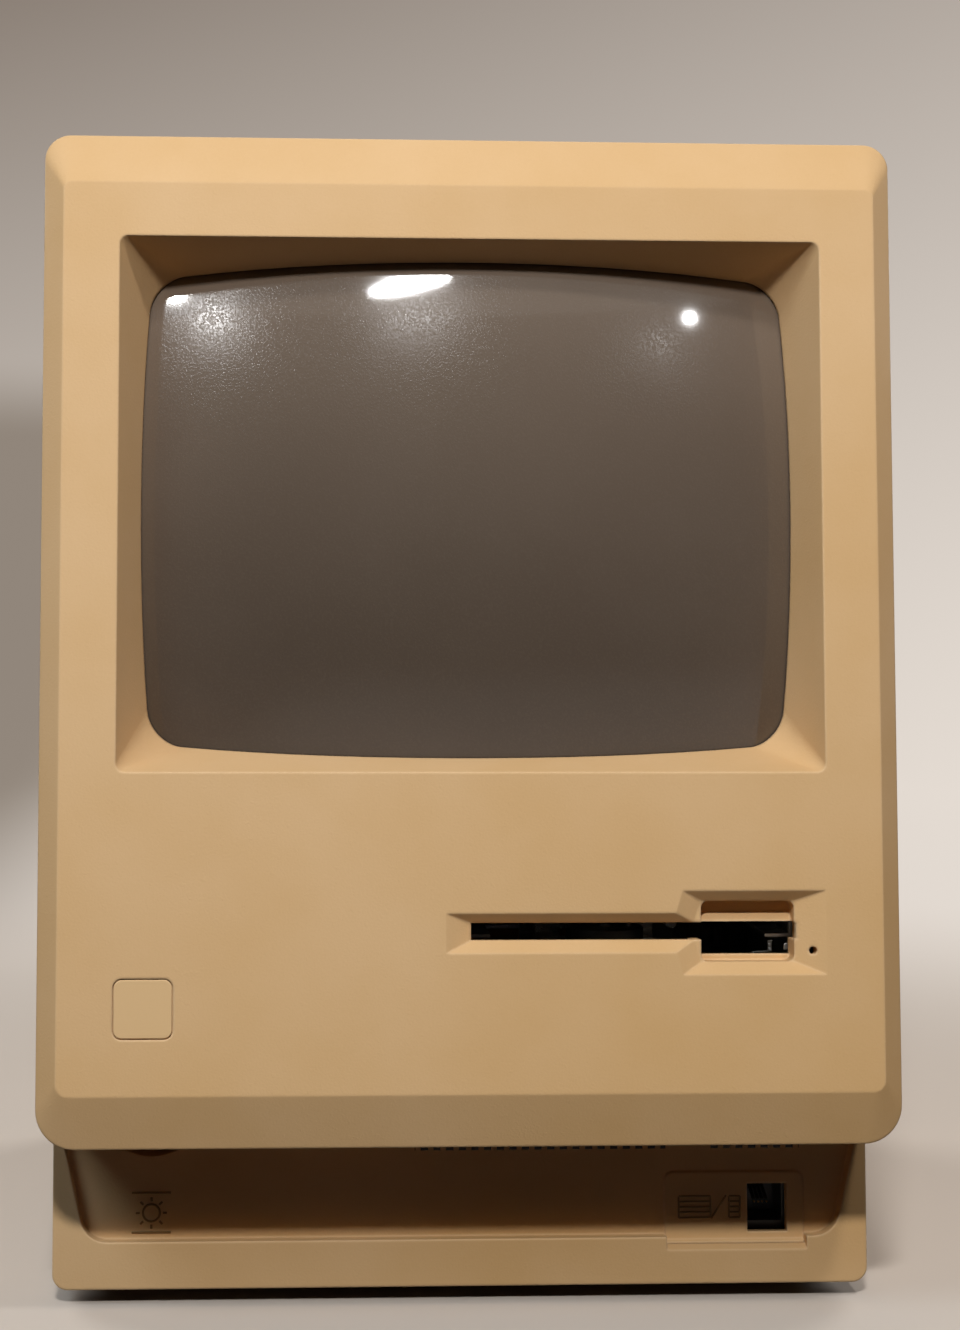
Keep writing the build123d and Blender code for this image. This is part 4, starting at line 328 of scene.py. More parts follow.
def plain_moulded(name, light, dark, roughness, corner=0.0004):
    """Unfinished technical plastic with flow marks and a light bloom of dust on what faces up."""
    material, place = new_finish(name)
    up = place.normal().axes()[2]
    flow = place.noise(60.0, 4.0, (1.0, 1.0, 0.35))
    fine = place.noise(900.0, 2.0)
    dust = up.step(0.35, 1.0) * place.noise(180.0, 5.0).step(0.35, 0.75)
    base = (dust * 0.35).mix(flow.mix(tone(light), tone(dark)), tone("8C867C"))
    surface(
        place,
        Base_Color=base,
        Roughness=flow * 0.12 + dust * 0.2 + roughness,
        Specular_IOR_Level=0.45,
        Normal=(fine + flow).bump(0.00003, 0.7, place.rounded(corner)),
    )
    return material


black_nylon = plain_moulded("black_nylon", "262423", "1A1918", 0.38)
cover(plain_moulded("phenolic_body", "3A2A20", "2B1F18", 0.5), "brightness_pot")

# ---------------------------------------------------------------- picture tube
# A 9 inch monochrome tube: thick grey glass whose inside is coated with pale phosphor, a funnel
# painted with black graphite, and a bare glass neck. Its slightly domed face has a polished skin
# with a little settled dust, so lamps mirror in it with a soft speckled glow round them.
tube_glass, place = new_finish("tube_glass")
x, y, z = place.axes()
window_v = 0.1809
tube_y, tube_z = front_y + window_v * sin(lean), chin_z + window_v * cos(lean)
funnel_start, neck_start, blend = 0.0285, 0.1120, 0.0015
along = z - tube_z
behind = (y - tube_y) * cos(lean) - along * sin(lean)
coated = behind.step(funnel_start, funnel_start + blend)
neck = behind.step(neck_start, neck_start + blend)
dust = place.noise(1500.0, 4.0).step(0.42, 0.72)
smear = place.noise(14.0, 4.0).step(0.35, 0.7)
patchy = place.noise(6.0, 2.0)
# painted reflection: the phosphor is painted paler towards the top, as the glow of the ceiling
# lights mirrored in the glass
phosphor_with_painted_glow = (patchy * 0.4 + along * 3.4 + 0.3).mix(tone("2C2219"), tone("7A6A5C"))
phosphor_with_painted_glow = (dust * 0.02 + smear * 0.04).mix(phosphor_with_painted_glow, tone("A09488"))
graphite = place.noise(260.0, 5.0).mix(tone("141313"), tone("242322"))
bare = place.noise(30.0, 2.0).mix(tone("59605C"), tone("6E7672"))
# the phosphor side is curved more than the face, so lamps also mirror in it, nearer the middle
face = 1.0 - coated
inward = place.node("ShaderNodeCombineXYZ", {}, {"X": x * face * 0.6, "Z": along * face * 0.6})
inner = place.vector("NORMALIZE", place.vector("ADD", place.normal(), inward))
surface(
    place,
    Base_Color=neck.mix(coated.mix(phosphor_with_painted_glow, graphite), bare),
    Roughness=0.16 + dust * 0.07 + smear * 0.03 + coated * 0.4 - neck * 0.5,
    Specular_IOR_Level=0.12,
    Coat_Weight=1.0 - coated * 0.75,
    Coat_Roughness=0.052,
    Coat_IOR=1.5,
    Normal=(place.noise(300.0, 4.0) * coated + dust * face * 0.2).bump(0.00012, 0.6, inner),
)
cover(tube_glass, "crt_tube")


def sheet_metal(name, light, dark, roughness=0.34, spangle=70.0, stretch=(1.0, 1.0, 1.0)):
    """Rolled and plated metal: crystals or drawing lines in the plating, and small dents."""
    material, place = new_finish(name)
    stretched = place.vector("MULTIPLY", place, stretch)
    crystal = stretched.node(
        "ShaderNodeTexVoronoi", {}, {"Vector": stretched, "Scale": spangle}, "Color"
    ).axes()[0]
    tarnish = place.noise(26.0, 5.0).step(0.35, 0.8)
    scratch = place.noise(420.0, 3.0, (1.0, 0.12, 1.0))
    surface(
        place,
        Base_Color=(crystal * 0.45 + tarnish * 0.45).mix(tone(light), tone(dark)),
        Metallic=0.95,
        Roughness=crystal * 0.1 + tarnish * 0.16 + scratch * 0.08 + roughness,
        Normal=(scratch * 0.6 + tarnish).bump(0.00003, 0.5, place.rounded(0.0004)),
    )
    return material


zinc_steel = sheet_metal("zinc_plated_steel", "C9CBCC", "8F9192")
ground_steel = sheet_metal("ground_steel", "D6D6D4", "A8A8A6", 0.18, 40.0, (1.0, 1.0, 20.0))
cover(zinc_steel, "crt_band", "crt_screws", "yoke_clamp")
cover(sheet_metal("gun_nickel", "D8D2C4", "A39C8C", 0.26, 300.0), "electron_gun")
cream_nylon = plain_moulded("cream_nylon", "E6DDC6", "D3C7A8", 0.42)
cover(cream_nylon, "yoke_liner", "neck_socket")

# enamelled copper wire, wound in saddles round the tube's axis
winding, place = new_finish("enamelled_copper")
x, y, z = place.axes()
yoke_z = tube_z - 0.0075
turn = place.math("ARCTAN2", x, z - yoke_z)
strand = place.math("SINE", turn * 150.0 + y * 900.0) * 0.5 + 0.5
varnish = place.noise(60.0, 4.0).step(0.3, 0.8)
surface(
    place,
    Base_Color=(strand * 0.6 + varnish * 0.3).mix(tone("5E2510"), tone("B4622F")),
    Metallic=0.65,
    Roughness=0.3 + varnish * 0.2,
    Coat_Weight=0.3 + varnish * 0.4,
    Coat_Roughness=0.2,
    Normal=strand.bump(0.00025, 0.9),
)
cover(winding, "yoke_windings")

ferrite, place = new_finish("sintered_ferrite")
grit = place.noise(700.0, 5.0)
surface(
    place,
    Base_Color=(grit * 0.7 + place.noise(40.0) * 0.3).mix(tone("2A2A2C"), tone("4A4846")),
    Metallic=0.15,
    Roughness=0.62 + grit * 0.15,
    Normal=grit.bump(0.0001, 0.7, place.rounded(0.0005)),
)
cover(ferrite, "yoke_core", "power_transformer")

# the cap on the tube's side and the feet are soft black rubber with a little chalky bloom
black_rubber, place = new_finish("black_rubber")
chalk = place.noise(90.0, 5.0).step(0.4, 0.8)
pores = place.noise(1400.0, 2.0)
surface(
    place,
    Base_Color=(chalk * 0.6 + pores * 0.2).mix(tone("171615"), tone("34322F")),
    Roughness=0.68 + chalk * 0.16,
    Specular_IOR_Level=0.32,
    Normal=(pores + chalk * 0.5).bump(0.00006, 0.7, place.rounded(0.0006)),
)
cover(black_rubber, "rubber_feet", "anode_cap")

# ---------------------------------------------------------------- neck board, analog board
# The boards are punched paper-phenolic and glass-epoxy laminate. Green lacquer covers copper
# tracks, and tinned pads show where parts are soldered.


def circuit_board(name, light, dark, pad, across_axes):
    """Lacquered laminate with tracks that run along two axes, and rows of tinned pads."""
    material, place = new_finish(name)
    parts = place.axes()
    first, second = (parts[n] for n in across_axes)
    flat = place.node("ShaderNodeCombineXYZ", {}, {"X": first, "Y": second})
    black, white = (0.0, 0.0, 0.0, 1.0), (1.0, 1.0, 1.0, 1.0)
    tracks = place.node(
        "ShaderNodeTexBrick",
        {"offset": 0.37, "squash": 0.6, "squash_frequency": 3},
        {"Vector": flat, "Scale": 60.0, "Mortar Size": 0.035, "Mortar Smooth": 0.4,
         "Brick Width": 1.1, "Row Height": 0.17, "Color1": black, "Color2": black,
         "Mortar": white},
        "Color",
    ).axes()[0]
    pads_per_metre = 393.7
    cells = place.node(
        "ShaderNodeTexVoronoi",
        {"voronoi_dimensions": "2D"},
        {"Vector": flat, "Scale": pads_per_metre, "Randomness": 0.0},
        "Distance",
    )
    row = place.noise(22.0, 0.0, (1.0, 1.0, 0.0)).step(0.56, 0.6)
    pads = (1.0 - cells.step(0.24, 0.3)) * row
    warp = place.noise(500.0, 2.0, (1.0, 0.2, 1.0))
    weft = place.noise(500.0, 2.0, (0.2, 1.0, 1.0))
    weave = warp * 0.5 + weft * 0.5
    lacquer = (tracks * 0.55 + weave * 0.25).mix(tone(dark), tone(light))
    surface(
        place,
        Base_Color=pads.mix(lacquer, tone(pad)),
        Metallic=pads * 0.85,
        Roughness=0.34 - pads * 0.06 + weave * 0.1,
        Normal=(tracks + pads * 1.5 + weave * 0.2).bump(0.00006, 0.8),
    )
    return material


cover(circuit_board("analog_laminate", "6E7A3C", "4A5427", "B9BBB6", (1, 2)), "analog_board")
cover(circuit_board("neck_laminate", "A67C43", "8A6332", "B9BBB6", (0, 2)), "neck_board")
cover(circuit_board("logic_laminate", "2F6B3C", "1D4A29", "C2C4BF", (0, 1)), "logic_board")
cover(circuit_board("drive_laminate", "2C6440", "1B4630", "C2C4BF", (0, 1)), "drive_board")

# the high-voltage transformer is potted in black resin
cover(black_nylon, "flyback_transformer")

# capacitors lie in blue shrink sleeves, each with one bare aluminium end
sleeve, place = new_finish("capacitor_sleeve")
sector = place.noise(9.0, 0.0).step(0.45, 0.5)
bare_end = place.normal().axes()[0].step(0.9, 0.97)
shrink = place.noise(120.0, 3.0, (4.0, 1.0, 1.0))
blue = (shrink * 0.4 + sector * 0.4).mix(tone("1E2B45"), tone("33436A"))
surface(
    place,
    Base_Color=bare_end.mix(blue, tone("C8C9C8")),
    Metallic=bare_end * 0.9,
    Roughness=0.32 + shrink * 0.12,
    Normal=shrink.bump(0.00012, 0.6, place.rounded(0.0008)),
)
cover(sleeve, "capacitors")


def grow(name, points, build, sizes, material, body):
    """Runs a node tree on bare points of the frame and keeps what it makes as one plain mesh."""
    tree = bpy.data.node_groups.new(name, "GeometryNodeTree")
    for direction in ("INPUT", "OUTPUT"):
        tree.interface.new_socket("Geometry", in_out=direction, socket_type="NodeSocketGeometry")
    for label, size in sizes.items():
        kind = "NodeSocketInt" if isinstance(size, int) else "NodeSocketFloat"
        tree.interface.new_socket(label, in_out="INPUT", socket_type=kind)
    start = tree.nodes.new("NodeGroupInput")
    values = {socket.name: Value(tree, socket) for socket in start.outputs if socket.name}
    whole = build(values.pop("Geometry"), values)
    whole = whole.node("GeometryNodeRealizeInstances", {}, {"Geometry": whole})
    whole = whole.node("GeometryNodeSetMaterial", {}, {"Geometry": whole, "Material": material})
    tree.links.new(whole.socket, tree.nodes.new("NodeGroupOutput").inputs[0])
    seeds = bpy.data.meshes.new(name)
    seeds.from_pydata([Vector(point) for point in points], [], [])
    carrier = bpy.data.objects.new(name, seeds)
    modifier = carrier.modifiers.new(name, "NODES")
    modifier.node_group = tree
    for item in tree.interface.items_tree:
        if item.in_out == "INPUT" and item.name in sizes:
            modifier[item.identifier] = sizes[item.name]
    new_piece(name, plain_mesh(carrier), material, body)


def joined(*parts):
    """Several geometries in one."""
    whole = parts[0].node("GeometryNodeJoinGeometry")
    for part in parts:
        whole.tree.links.new(part.socket, whole.socket.node.inputs[0])
    return whole


def moved(part, by=(0.0, 0.0, 0.0), turned=(0.0, 0.0, 0.0)):
    """The part turned about the origin, then moved."""
    return part.node(
        "GeometryNodeTransform", {}, {"Geometry": part, "Translation": by, "Rotation": turned}
    )


def stood(points, part, turned=(0.0, 0.0, 0.0)):
    """The part at every point."""
    sockets = {"Points": points, "Instance": part, "Rotation": turned}
    return part.node("GeometryNodeInstanceOnPoints", {}, sockets)


def rod(values, radius, length, sides):
    """A round rod along Z, from a radius and a length."""
    sockets = {"Vertices": sides, "Radius": radius, "Depth": length}
    return values.node("GeometryNodeMeshCylinder", {}, sockets, "Mesh")


def resistor(points, sizes):
    """A lacquered ceramic body with thicker ends, on a tinned lead that bends down to the board."""
    round_body, round_lead = 14, 8
    along_board = (0.0, pi / 2, 0.0)
    core = rod(points, sizes["Body radius"], sizes["Body length"], round_body)
    wire = rod(points, sizes["Lead radius"], sizes["Lead spacing"], round_lead)
    cap = rod(points, sizes["Body radius"] * 1.22, 0.0013, round_body)
    stilt = rod(points, sizes["Lead radius"], 0.0032, round_lead)
    caps = [moved(cap, (0.0, 0.0, side * 0.0024)) for side in (-1, 1)]
    stilts = [moved(stilt, (-0.0012, 0.0, side * 0.0055), along_board) for side in (-1, 1)]
    return stood(points, joined(core, *caps, wire, *stilts))


# the resistors stand in level rows, and each has four coloured bands
row_height = 0.014
column_width = 0.0075
buff = tone("C9A46F")
banded, place = new_finish("banded_resistor")
up_body = place.math("FLOORED_MODULO", place.axes()[2] - 0.161, row_height) - row_height / 2
lead = place.math("ABSOLUTE", up_body).step(0.0030, 0.0031)
bands = place.node(
    "ShaderNodeValToRGB",
    {"stops": [(0.0, buff), (0.20, tone("6B2C12")), (0.27, buff), (0.38, tone("1C1A19")),
               (0.45, buff), (0.56, tone("A8401F")), (0.63, buff), (0.76, tone("B08A2A")),
               (0.83, buff)]},
    {"Fac": up_body * 160.0 + 0.5},
)
bands.socket.node.color_ramp.interpolation = "CONSTANT"
grime = place.noise(900.0, 3.0)
surface(
    place,
    Base_Color=lead.mix((grime * 0.3).mix(bands, tone("8E7A5A")), tone("C4C6C4")),
    Metallic=lead * 0.95,
    Roughness=0.36 + grime * 0.15,
    Normal=grime.bump(0.00003, 0.6),
)
upper_field = [(n, m) for n in range(6) for m in range(3) if (n, m) != (5, 0)]
lower_field = [(n, m) for n in range(4) for m in range(7)]
board_face = -0.1055
stands = [(board_face, -0.054 + column_width * n, 0.168 + row_height * m) for n, m in upper_field]
stands += [(board_face, 0.080 + column_width * n, 0.112 + row_height * m) for n, m in lower_field]
grow(
    "resistors", stands, resistor,
    {"Body radius": 0.00098, "Body length": 0.0058, "Lead radius": 0.0003, "Lead spacing": 0.011},
    banded, "root",
)
drawn_aluminium = sheet_metal("drawn_aluminium", "D4D5D6", "A9ABAD", 0.3, 500.0, (1.0, 0.05, 1.0))
cover(drawn_aluminium, "heatsink")

# ---------------------------------------------------------------- chassis
# The chassis is folded from aluminium sheet. It carries the tube's rear board, the shelf for the
# disk drive and the logic board's rails, and shows rolling lines and handling scratches.
rolled = sheet_metal("rolled_aluminium", "C6C8CA", "9C9EA1", 0.36, 260.0, (1.0, 0.04, 1.0))
cover(rolled, "chassis_frame", "drive_cage", "head_carriage")

# ---------------------------------------------------------------- speaker
# A round paper-cone speaker clips behind the front, with a pressed basket and a ferrite magnet.
speaker_paper, place = new_finish("speaker_paper")
fibre = place.noise(800.0, 5.0)
cone = fibre.mix(tone("2A2724"), tone("45403A"))
pressing = fibre.mix(tone("6F7072"), tone("8B8C8E"))
basket = place.axes()[1].step(-0.1215, -0.1170)
surface(
    place,
    Base_Color=basket.mix(cone, pressing),
    Metallic=basket * 0.7,
    Roughness=0.85 - basket * 0.4,
    Normal=fibre.bump(0.0002, 0.8),
)
cover(speaker_paper, "speaker")

# ---------------------------------------------------------------- mains inlet, switch and rocker
# The inlet and the switch are black nylon mouldings snapped into the rear case. The rocker tilts
# about a pin, and carries the two usual marks for on and off, hot-stamped in white.
cover(black_nylon, "mains_inlet", "power_switch", "battery_holder")
cover(plain_moulded("rocker_nylon", "1F1E1D", "151413", 0.3, 0.0006), "power_rocker")
rear_lean = radians(3.0)
rear_y, rear_z = 0.1385, 0.005


def on_rear(p, q, n=0.0):
    """A point of the rear wall, p to the right and q up as seen from behind, n in front of it."""
    return Vector((
        -p,
        rear_y - q * sin(rear_lean) + n * cos(rear_lean),
        rear_z + q * cos(rear_lean) + n * sin(rear_lean),
    ))


def closed_mesh(name, shape):
    """The finished mesh of a shape, with its faces pointing outwards."""
    bmesh.ops.recalc_face_normals(shape, faces=shape.faces)
    mesh = bpy.data.meshes.new(name)
    shape.to_mesh(mesh)
    shape.free()
    return mesh


def walls(shape, first, second):
    """The faces between two closed rings of points."""
    for n in range(len(first)):
        shape.faces.new((first[n - 1], first[n], second[n], second[n - 1]))


def prism(name, outlines, low, high, place_of, corner=0.0):
    """Closed flat outlines given a thickness from low to high, with their front edges broken."""
    shape = bmesh.new()
    for points, centre, reach in outlines:
        lower, middle, upper = (
            [shape.verts.new(place_of(p * share, q * share, n, centre)) for p, q in points]
            for share, n in ((1.0, low), (1.0, high - corner), (1.0 - corner / reach, high))
        )
        walls(shape, lower, middle)
        walls(shape, middle, upper)
        shape.faces.new(upper)
        shape.faces.new(lower[::-1])
    return closed_mesh(name, shape)


def rectangle(wide, tall):
    """An upright rectangle round the origin."""
    p, q = wide / 2, tall / 2
    return [(-p, -q), (p, -q), (p, q), (-p, q)]


def from_rear(p, q, n, centre):
    """The point of the rear wall at that place beside the outline's centre."""
    return on_rear(centre[0] + p, centre[1] + q, n)


brass = sheet_metal("nickel_on_brass", "D8D0BC", "B5A988", 0.22, 400.0)
mains_p, inlet_q, rocker_q = 0.088, 0.100, 0.136
blades = [
    (rectangle(0.00216, 0.00376), (mains_p + p, inlet_q + q), 0.0016)
    for p, q in ((-0.007, -0.0012), (0.007, -0.0012), (0.0, 0.0028))
]
blades = prism("inlet_blades", blades, -0.0175, -0.0026, from_rear, 0.0006)
new_piece("inlet_blades", blades, brass, "root")

stamped, place = new_finish("stamped_white")
worn = place.noise(2200.0, 4.0).step(0.35, 0.55)
surface(
    place,
    Base_Color=worn.mix(tone("8F8C86"), tone("E4E2DB")),
    Roughness=0.5 + worn * 0.1,
    Normal=worn.bump(0.00002, 0.5),
)
tilt = radians(8.0)
rocker_pin = -0.004


def on_rocker(p, a, n, centre):
    """A point of the tilted rocker: a up its length from the pin, n above its face there."""
    a = a + centre[1]
    b = 0.004 + abs(a) / 0.0109 * 0.001 + n
    q = rocker_q + a * cos(tilt) - b * sin(tilt)
    return on_rear(mains_p + p, q, a * sin(tilt) + b * cos(tilt) + rocker_pin)


def ring_pieces(radius, count, bore_share, centre, reach):
    """The outlines of a flat ring, cut into pieces side by side."""
    rim = [
        (radius * cos(2 * pi * n / count), radius * sin(2 * pi * n / count))
        for n in range(count + 1)
    ]
    return [
        ([a, b, (b[0] * bore_share, b[1] * bore_share), (a[0] * bore_share, a[1] * bore_share)],
         centre, reach)
        for a, b in zip(rim, rim[1:])
    ]


marks = [(rectangle(0.0007, 0.0036), (0.0, 0.0062), 0.001)]
marks += ring_pieces(0.0017, 32, 0.66, (0.0, -0.0062), 0.001)
marks = prism("rocker_marks", marks, -0.0001, 0.00006, on_rocker)
new_piece("rocker_marks", marks, stamped, "power_rocker")

# ---------------------------------------------------------------- battery and door
# A cell for the clock lies behind a small hinged door in the same plastic as the case.
cover(beige, "battery_door")
cell_wrap, place = new_finish("cell_wrap")
cell_low, cell_high = (corner.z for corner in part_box("battery"))
tall = cell_high - cell_low
wrap = place.axes()[2].step(cell_low + 0.68 * tall, cell_low + 0.685 * tall)
scuff = place.noise(140.0, 5.0).step(0.5, 0.8)
surface(
    place,
    Base_Color=(scuff * 0.25).mix(wrap.mix(tone("2B2A2A"), tone("B98446")), tone("8F8C88")),
    Metallic=0.35,
    Roughness=0.3 + scuff * 0.25,
    Normal=scuff.bump(0.00003, 0.6),
)
cover(cell_wrap, "battery")

# ---------------------------------------------------------------- logic board's parts
# The chips are black epoxy bodies on two rows of tinned legs that pass through the board. Two small
# push switches stand beside them.
epoxy, place = new_finish("black_epoxy")
grit = place.noise(1300.0, 3.0)
print_haze = place.noise(70.0, 3.0).step(0.4, 0.7)
surface(
    place,
    Base_Color=(grit * 0.4 + print_haze * 0.3).mix(tone("181819"), tone("302F30")),
    Roughness=0.5 + grit * 0.12,
    Normal=grit.bump(0.00004, 0.7, place.rounded(0.0002)),
)
cover(epoxy, "processor", "rom_chips", "memory_chips", "logic_chips", "controller_chips")
cover(black_nylon, "board_buttons")
tinned = sheet_metal("tinned_legs", "CFCFCC", "9D9E9B", 0.28, 600.0)


def plate(values, wide, deep, tall):
    """A small flat bar."""
    size = values.node("ShaderNodeCombineXYZ", {}, {"X": wide, "Y": deep, "Z": tall})
    return values.node("GeometryNodeMeshCube", {}, {"Size": size}, "Mesh")


def chip_legs(points, sizes):
    """Two folded rows of legs: a flat shoulder, a wide upper part and a narrow end in the board."""
    sheet, count, pitch = sizes["Sheet"], sizes["Legs"], sizes["Pitch"]
    shoulder = moved(plate(points, 0.0014, 0.0011, sheet), (0.0, 0.00015, 0.0))
    upper = moved(plate(points, 0.0014, sheet, 0.0022), (0.0, 0.0007, -0.0010))
    end = moved(plate(points, 0.0005, sheet, 0.0036), (0.0, 0.0007, -0.0034))
    start = points.node("ShaderNodeCombineXYZ", {}, {
        "X": (count - 1.0) * pitch * -0.5,
        "Y": sizes["Row spacing"] * 0.5,
        "Z": sizes["Shoulder height"],
    })
    step = points.node("ShaderNodeCombineXYZ", {}, {"X": pitch})
    sockets = {"Count": count, "Start Location": start, "Offset": step}
    row = stood(points.node("GeometryNodeMeshLine", {}, sockets), joined(shoulder, upper, end))
    return stood(points, joined(row, moved(row, turned=(0.0, 0.0, pi))))


def block_of_chips(x, y, across, columns):
    """The places of chips in rows of three, from the front left one of the block."""
    return [(x + across * n, y + 0.014 * m) for n in range(columns) for m in range(3)]


board_top = 0.0182
chip_groups = {
    "processor": (32, 0.0183, [(-0.040, 0.020)]),
    "rom": (14, 0.0139, [(0.026, 0.010), (0.026, 0.032)]),
    "memory": (8, 0.0069, block_of_chips(-0.084, -0.048, 0.024, 4)),
    "logic": (9, 0.0069, block_of_chips(0.040, -0.046, 0.030, 2)),
    "controller": (14, 0.0139, [(-0.070, 0.060), (-0.020, 0.060), (0.030, 0.060), (0.076, 0.040)]),
}
for name, (legs, spacing, places) in chip_groups.items():
    grow(
        name + "_legs", [(x, y, board_top) for x, y in places], chip_legs,
        {"Legs": legs, "Pitch": 0.00254, "Row spacing": spacing, "Shoulder height": 0.0020,
         "Sheet": 0.00025},
        tinned, "root",
    )

# ---------------------------------------------------------------- rear ports
# Four ports sit in the recess along the rear's foot, each a nickel-plated shell round a block of
# sockets, fixed by two nuts. A black jack for sound is beside them.
nickel = sheet_metal("nickel_plate", "D9D5CB", "B0AA9D", 0.22, 350.0)
cover(nickel, "mouse_port", "drive_port", "printer_port", "modem_port")
cover(black_nylon, "audio_jack")
port_q = 0.0215
ports = ((-0.0840, 0.017, 5), (-0.04008, 0.032, 10), (0.00384, 0.017, 5), (0.03678, 0.017, 5))


def d_outline(wide, tall):
    """The rounded D of a port, its narrow side down."""
    radius, slant = 0.0012, 0.18 * tall
    p, q = wide / 2, tall / 2
    corners = [Vector(c) for c in ((slant - p, -q), (p - slant, -q), (p, q), (-p, q))]
    outline = []
    for n, here in enumerate(corners):
        before = (corners[n - 1] - here).normalized() * radius
        after = (corners[(n + 1) % 4] - here).normalized() * radius
        for share in (0.0, 0.25, 0.5, 0.75, 1.0):
            outline.append(tuple(here + before * (1 - share) ** 2 + after * share ** 2))
    return outline


insert_face = -0.0019
inserts = [(d_outline(wide - 0.0018, 0.0066), (p, port_q), 0.004) for p, wide, _ in ports]
inserts = prism("port_inserts", inserts, -0.0028, insert_face, from_rear, 0.0002)
new_piece("port_inserts", inserts, black_nylon, "root")
gold = sheet_metal("gold_flash", "E3C274", "B98F45", 0.24, 500.0)


def lined_hole(points, sizes):
    """The rolled lip of a socket contact, sunk in its block."""
    circle, wire = (
        points.node(
            "GeometryNodeCurvePrimitiveCircle", {}, {"Resolution": sides, "Radius": sizes[size]}
        )
        for sides, size in ((14, "Lip radius"), (6, "Lip thickness"))
    )
    lip = points.node("GeometryNodeCurveToMesh", {}, {"Curve": circle, "Profile Curve": wire})
    return stood(points, lip, (pi / 2 + rear_lean, 0.0, 0.0))


contact_pitch, row_offset = 0.00276, 0.00142
contacts = [
    on_rear(p + contact_pitch * (n - (many - 1) / 2), port_q + q, insert_face)
    for p, _, count in ports
    for q, many in ((row_offset, count), (-row_offset, count - 1))
    for n in range(many)
]
grow(
    "port_contacts", contacts, lined_hole, {"Lip radius": 0.00062, "Lip thickness": 0.00018},
    gold, "root",
)

# a six-sided nut with a bore is at each end of a shell
nuts = []
for p, wide, _ in ports:
    for side in (-1, 1):
        nuts += ring_pieces(0.0027, 6, 0.5, (p + side * (wide / 2 + 0.0042), port_q), 0.004)
nuts = prism("port_nuts", nuts, -0.0052, -0.0016, from_rear, 0.0003)
new_piece("port_nuts", nuts, nickel, "root")

# ---------------------------------------------------------------- keyboard jack
# A black socket with four gold-flashed springs, which slant down through its top and end in a small
# upward hook.
cover(black_nylon, "keyboard_jack")
hook = [(-0.0753, 0.0282), (-0.0792, 0.02672), (-0.0832, 0.02522), (-0.0838, 0.02514)]
hook += [(-0.0842, 0.02548)]
springs = [([(0.090 + 0.00127 * n, y, z) for y, z in hook], False) for n in range(4)]
springs = round_wires("jack_springs", springs, 0.00028, 3)
new_piece("jack_springs", springs, gold, "root")

# ---------------------------------------------------------------- debugging buttons
# Two small square buttons in a clip on the left side press switches on the logic board.
cover(beige, "button_clip", "reset_button", "interrupt_button")

# ---------------------------------------------------------------- disk drive
# The drive is a zinc-plated pressing with a carriage that drops on four ramps. The rails and the
# head's screw are ground and oiled.
cover(zinc_steel, "drive_frame", "disk_carriage", "eject_slider")
cover(zinc_steel, "spindle_motor", "stepper_motor", "spindle_hub")
cover(ground_steel, "head_rails", "lead_screw")

# a small slanting tab and a coil spring behind the notch, at the front of the drive
latch_y, tab_foot, tab_slope, tab_sheet = -0.1217, 0.1078, -0.12, 0.0005
tab = bmesh.new()
outline = [(0.0904, 0.1078), (0.0926, 0.1078), (0.0930, 0.1082), (0.0930, 0.1097)]
outline += [(0.0908, 0.1097), (0.0904, 0.1093)]
front, back = (
    [tab.verts.new((x, y + (z - tab_foot) * tab_slope, z)) for x, z in outline]
    for y in (latch_y - tab_sheet, latch_y)
)
walls(tab, front, back)
tab.faces.new(front)
tab.faces.new(back[::-1])
new_piece("latch_tab", closed_mesh("latch_tab", tab), zinc_steel, "root")
coil_x, coil_foot, coil_rise = 0.0864, 0.1074, 0.00006
wire = [(0.0812, latch_y, 0.1071), (0.0852, latch_y, 0.1073)]
for n in range(46):
    across, inwards = 0.0006 * cos(n * pi / 5), 0.0005 * sin(n * pi / 5)
    wire.append((coil_x + across, latch_y + inwards, coil_foot + coil_rise * n))
wire.append((0.0872, latch_y, 0.1104))
spring = round_wires("latch_spring", [(wire, False)], 0.00013)
new_piece("latch_spring", spring, ground_steel, "root")

# ---------------------------------------------------------------- rear case
# The bucket is moulded in the same beige plastic as the front, with a well and a bar for carrying.
# Four zinc-plated screws hold it to the front.
cover(moulded("aged_beige_case", "D8B282", "CBA26D", "E7C698"), "rear_case")
cover(zinc_steel, "case_screws")

# ---------------------------------------------------------------- studio
# A pale round sweep stands for the shelf and the wall behind it. Softboxes light the computer, and
# three small lamps show only as reflections in the glass.
sweep = bmesh.new()
flat_rings, curved_rings, sides = 8, 16, 96
flat_radius, curve_reach, curve_height = 2.02, 1.6, 2.4
profile = [(0.02 + 2.0 * n / flat_rings, 0.0) for n in range(flat_rings + 1)]
for n in range(1, curved_rings + 1):
    turn = n / curved_rings * pi / 2
    profile.append((flat_radius + curve_reach * sin(turn), curve_height * (1.0 - cos(turn))))
turns = [2 * pi * n / sides for n in range(sides)]
rings = [
    [sweep.verts.new((radius * cos(turn), radius * sin(turn), height)) for turn in turns]
    for radius, height in profile
]
for lower, upper in zip(rings, rings[1:]):
    walls(sweep, lower, upper)
sweep.faces.new(rings[0])
floor_mesh = closed_mesh("floor", sweep)
for face in floor_mesh.polygons:
    face.use_smooth = True
floor = bpy.data.objects.new("floor", floor_mesh)
bpy.context.scene.collection.objects.link(floor)


def on_shown_rays(place):
    """1 on rays from the camera, off a gloss or through glass, and 0 on those that carry light."""
    kinds = ("Is Camera Ray", "Is Glossy Ray", "Is Transmission Ray")
    rays = sum(place.node("ShaderNodeLightPath", output=kind) for kind in kinds)
    return place.math("MINIMUM", rays, 1.0)


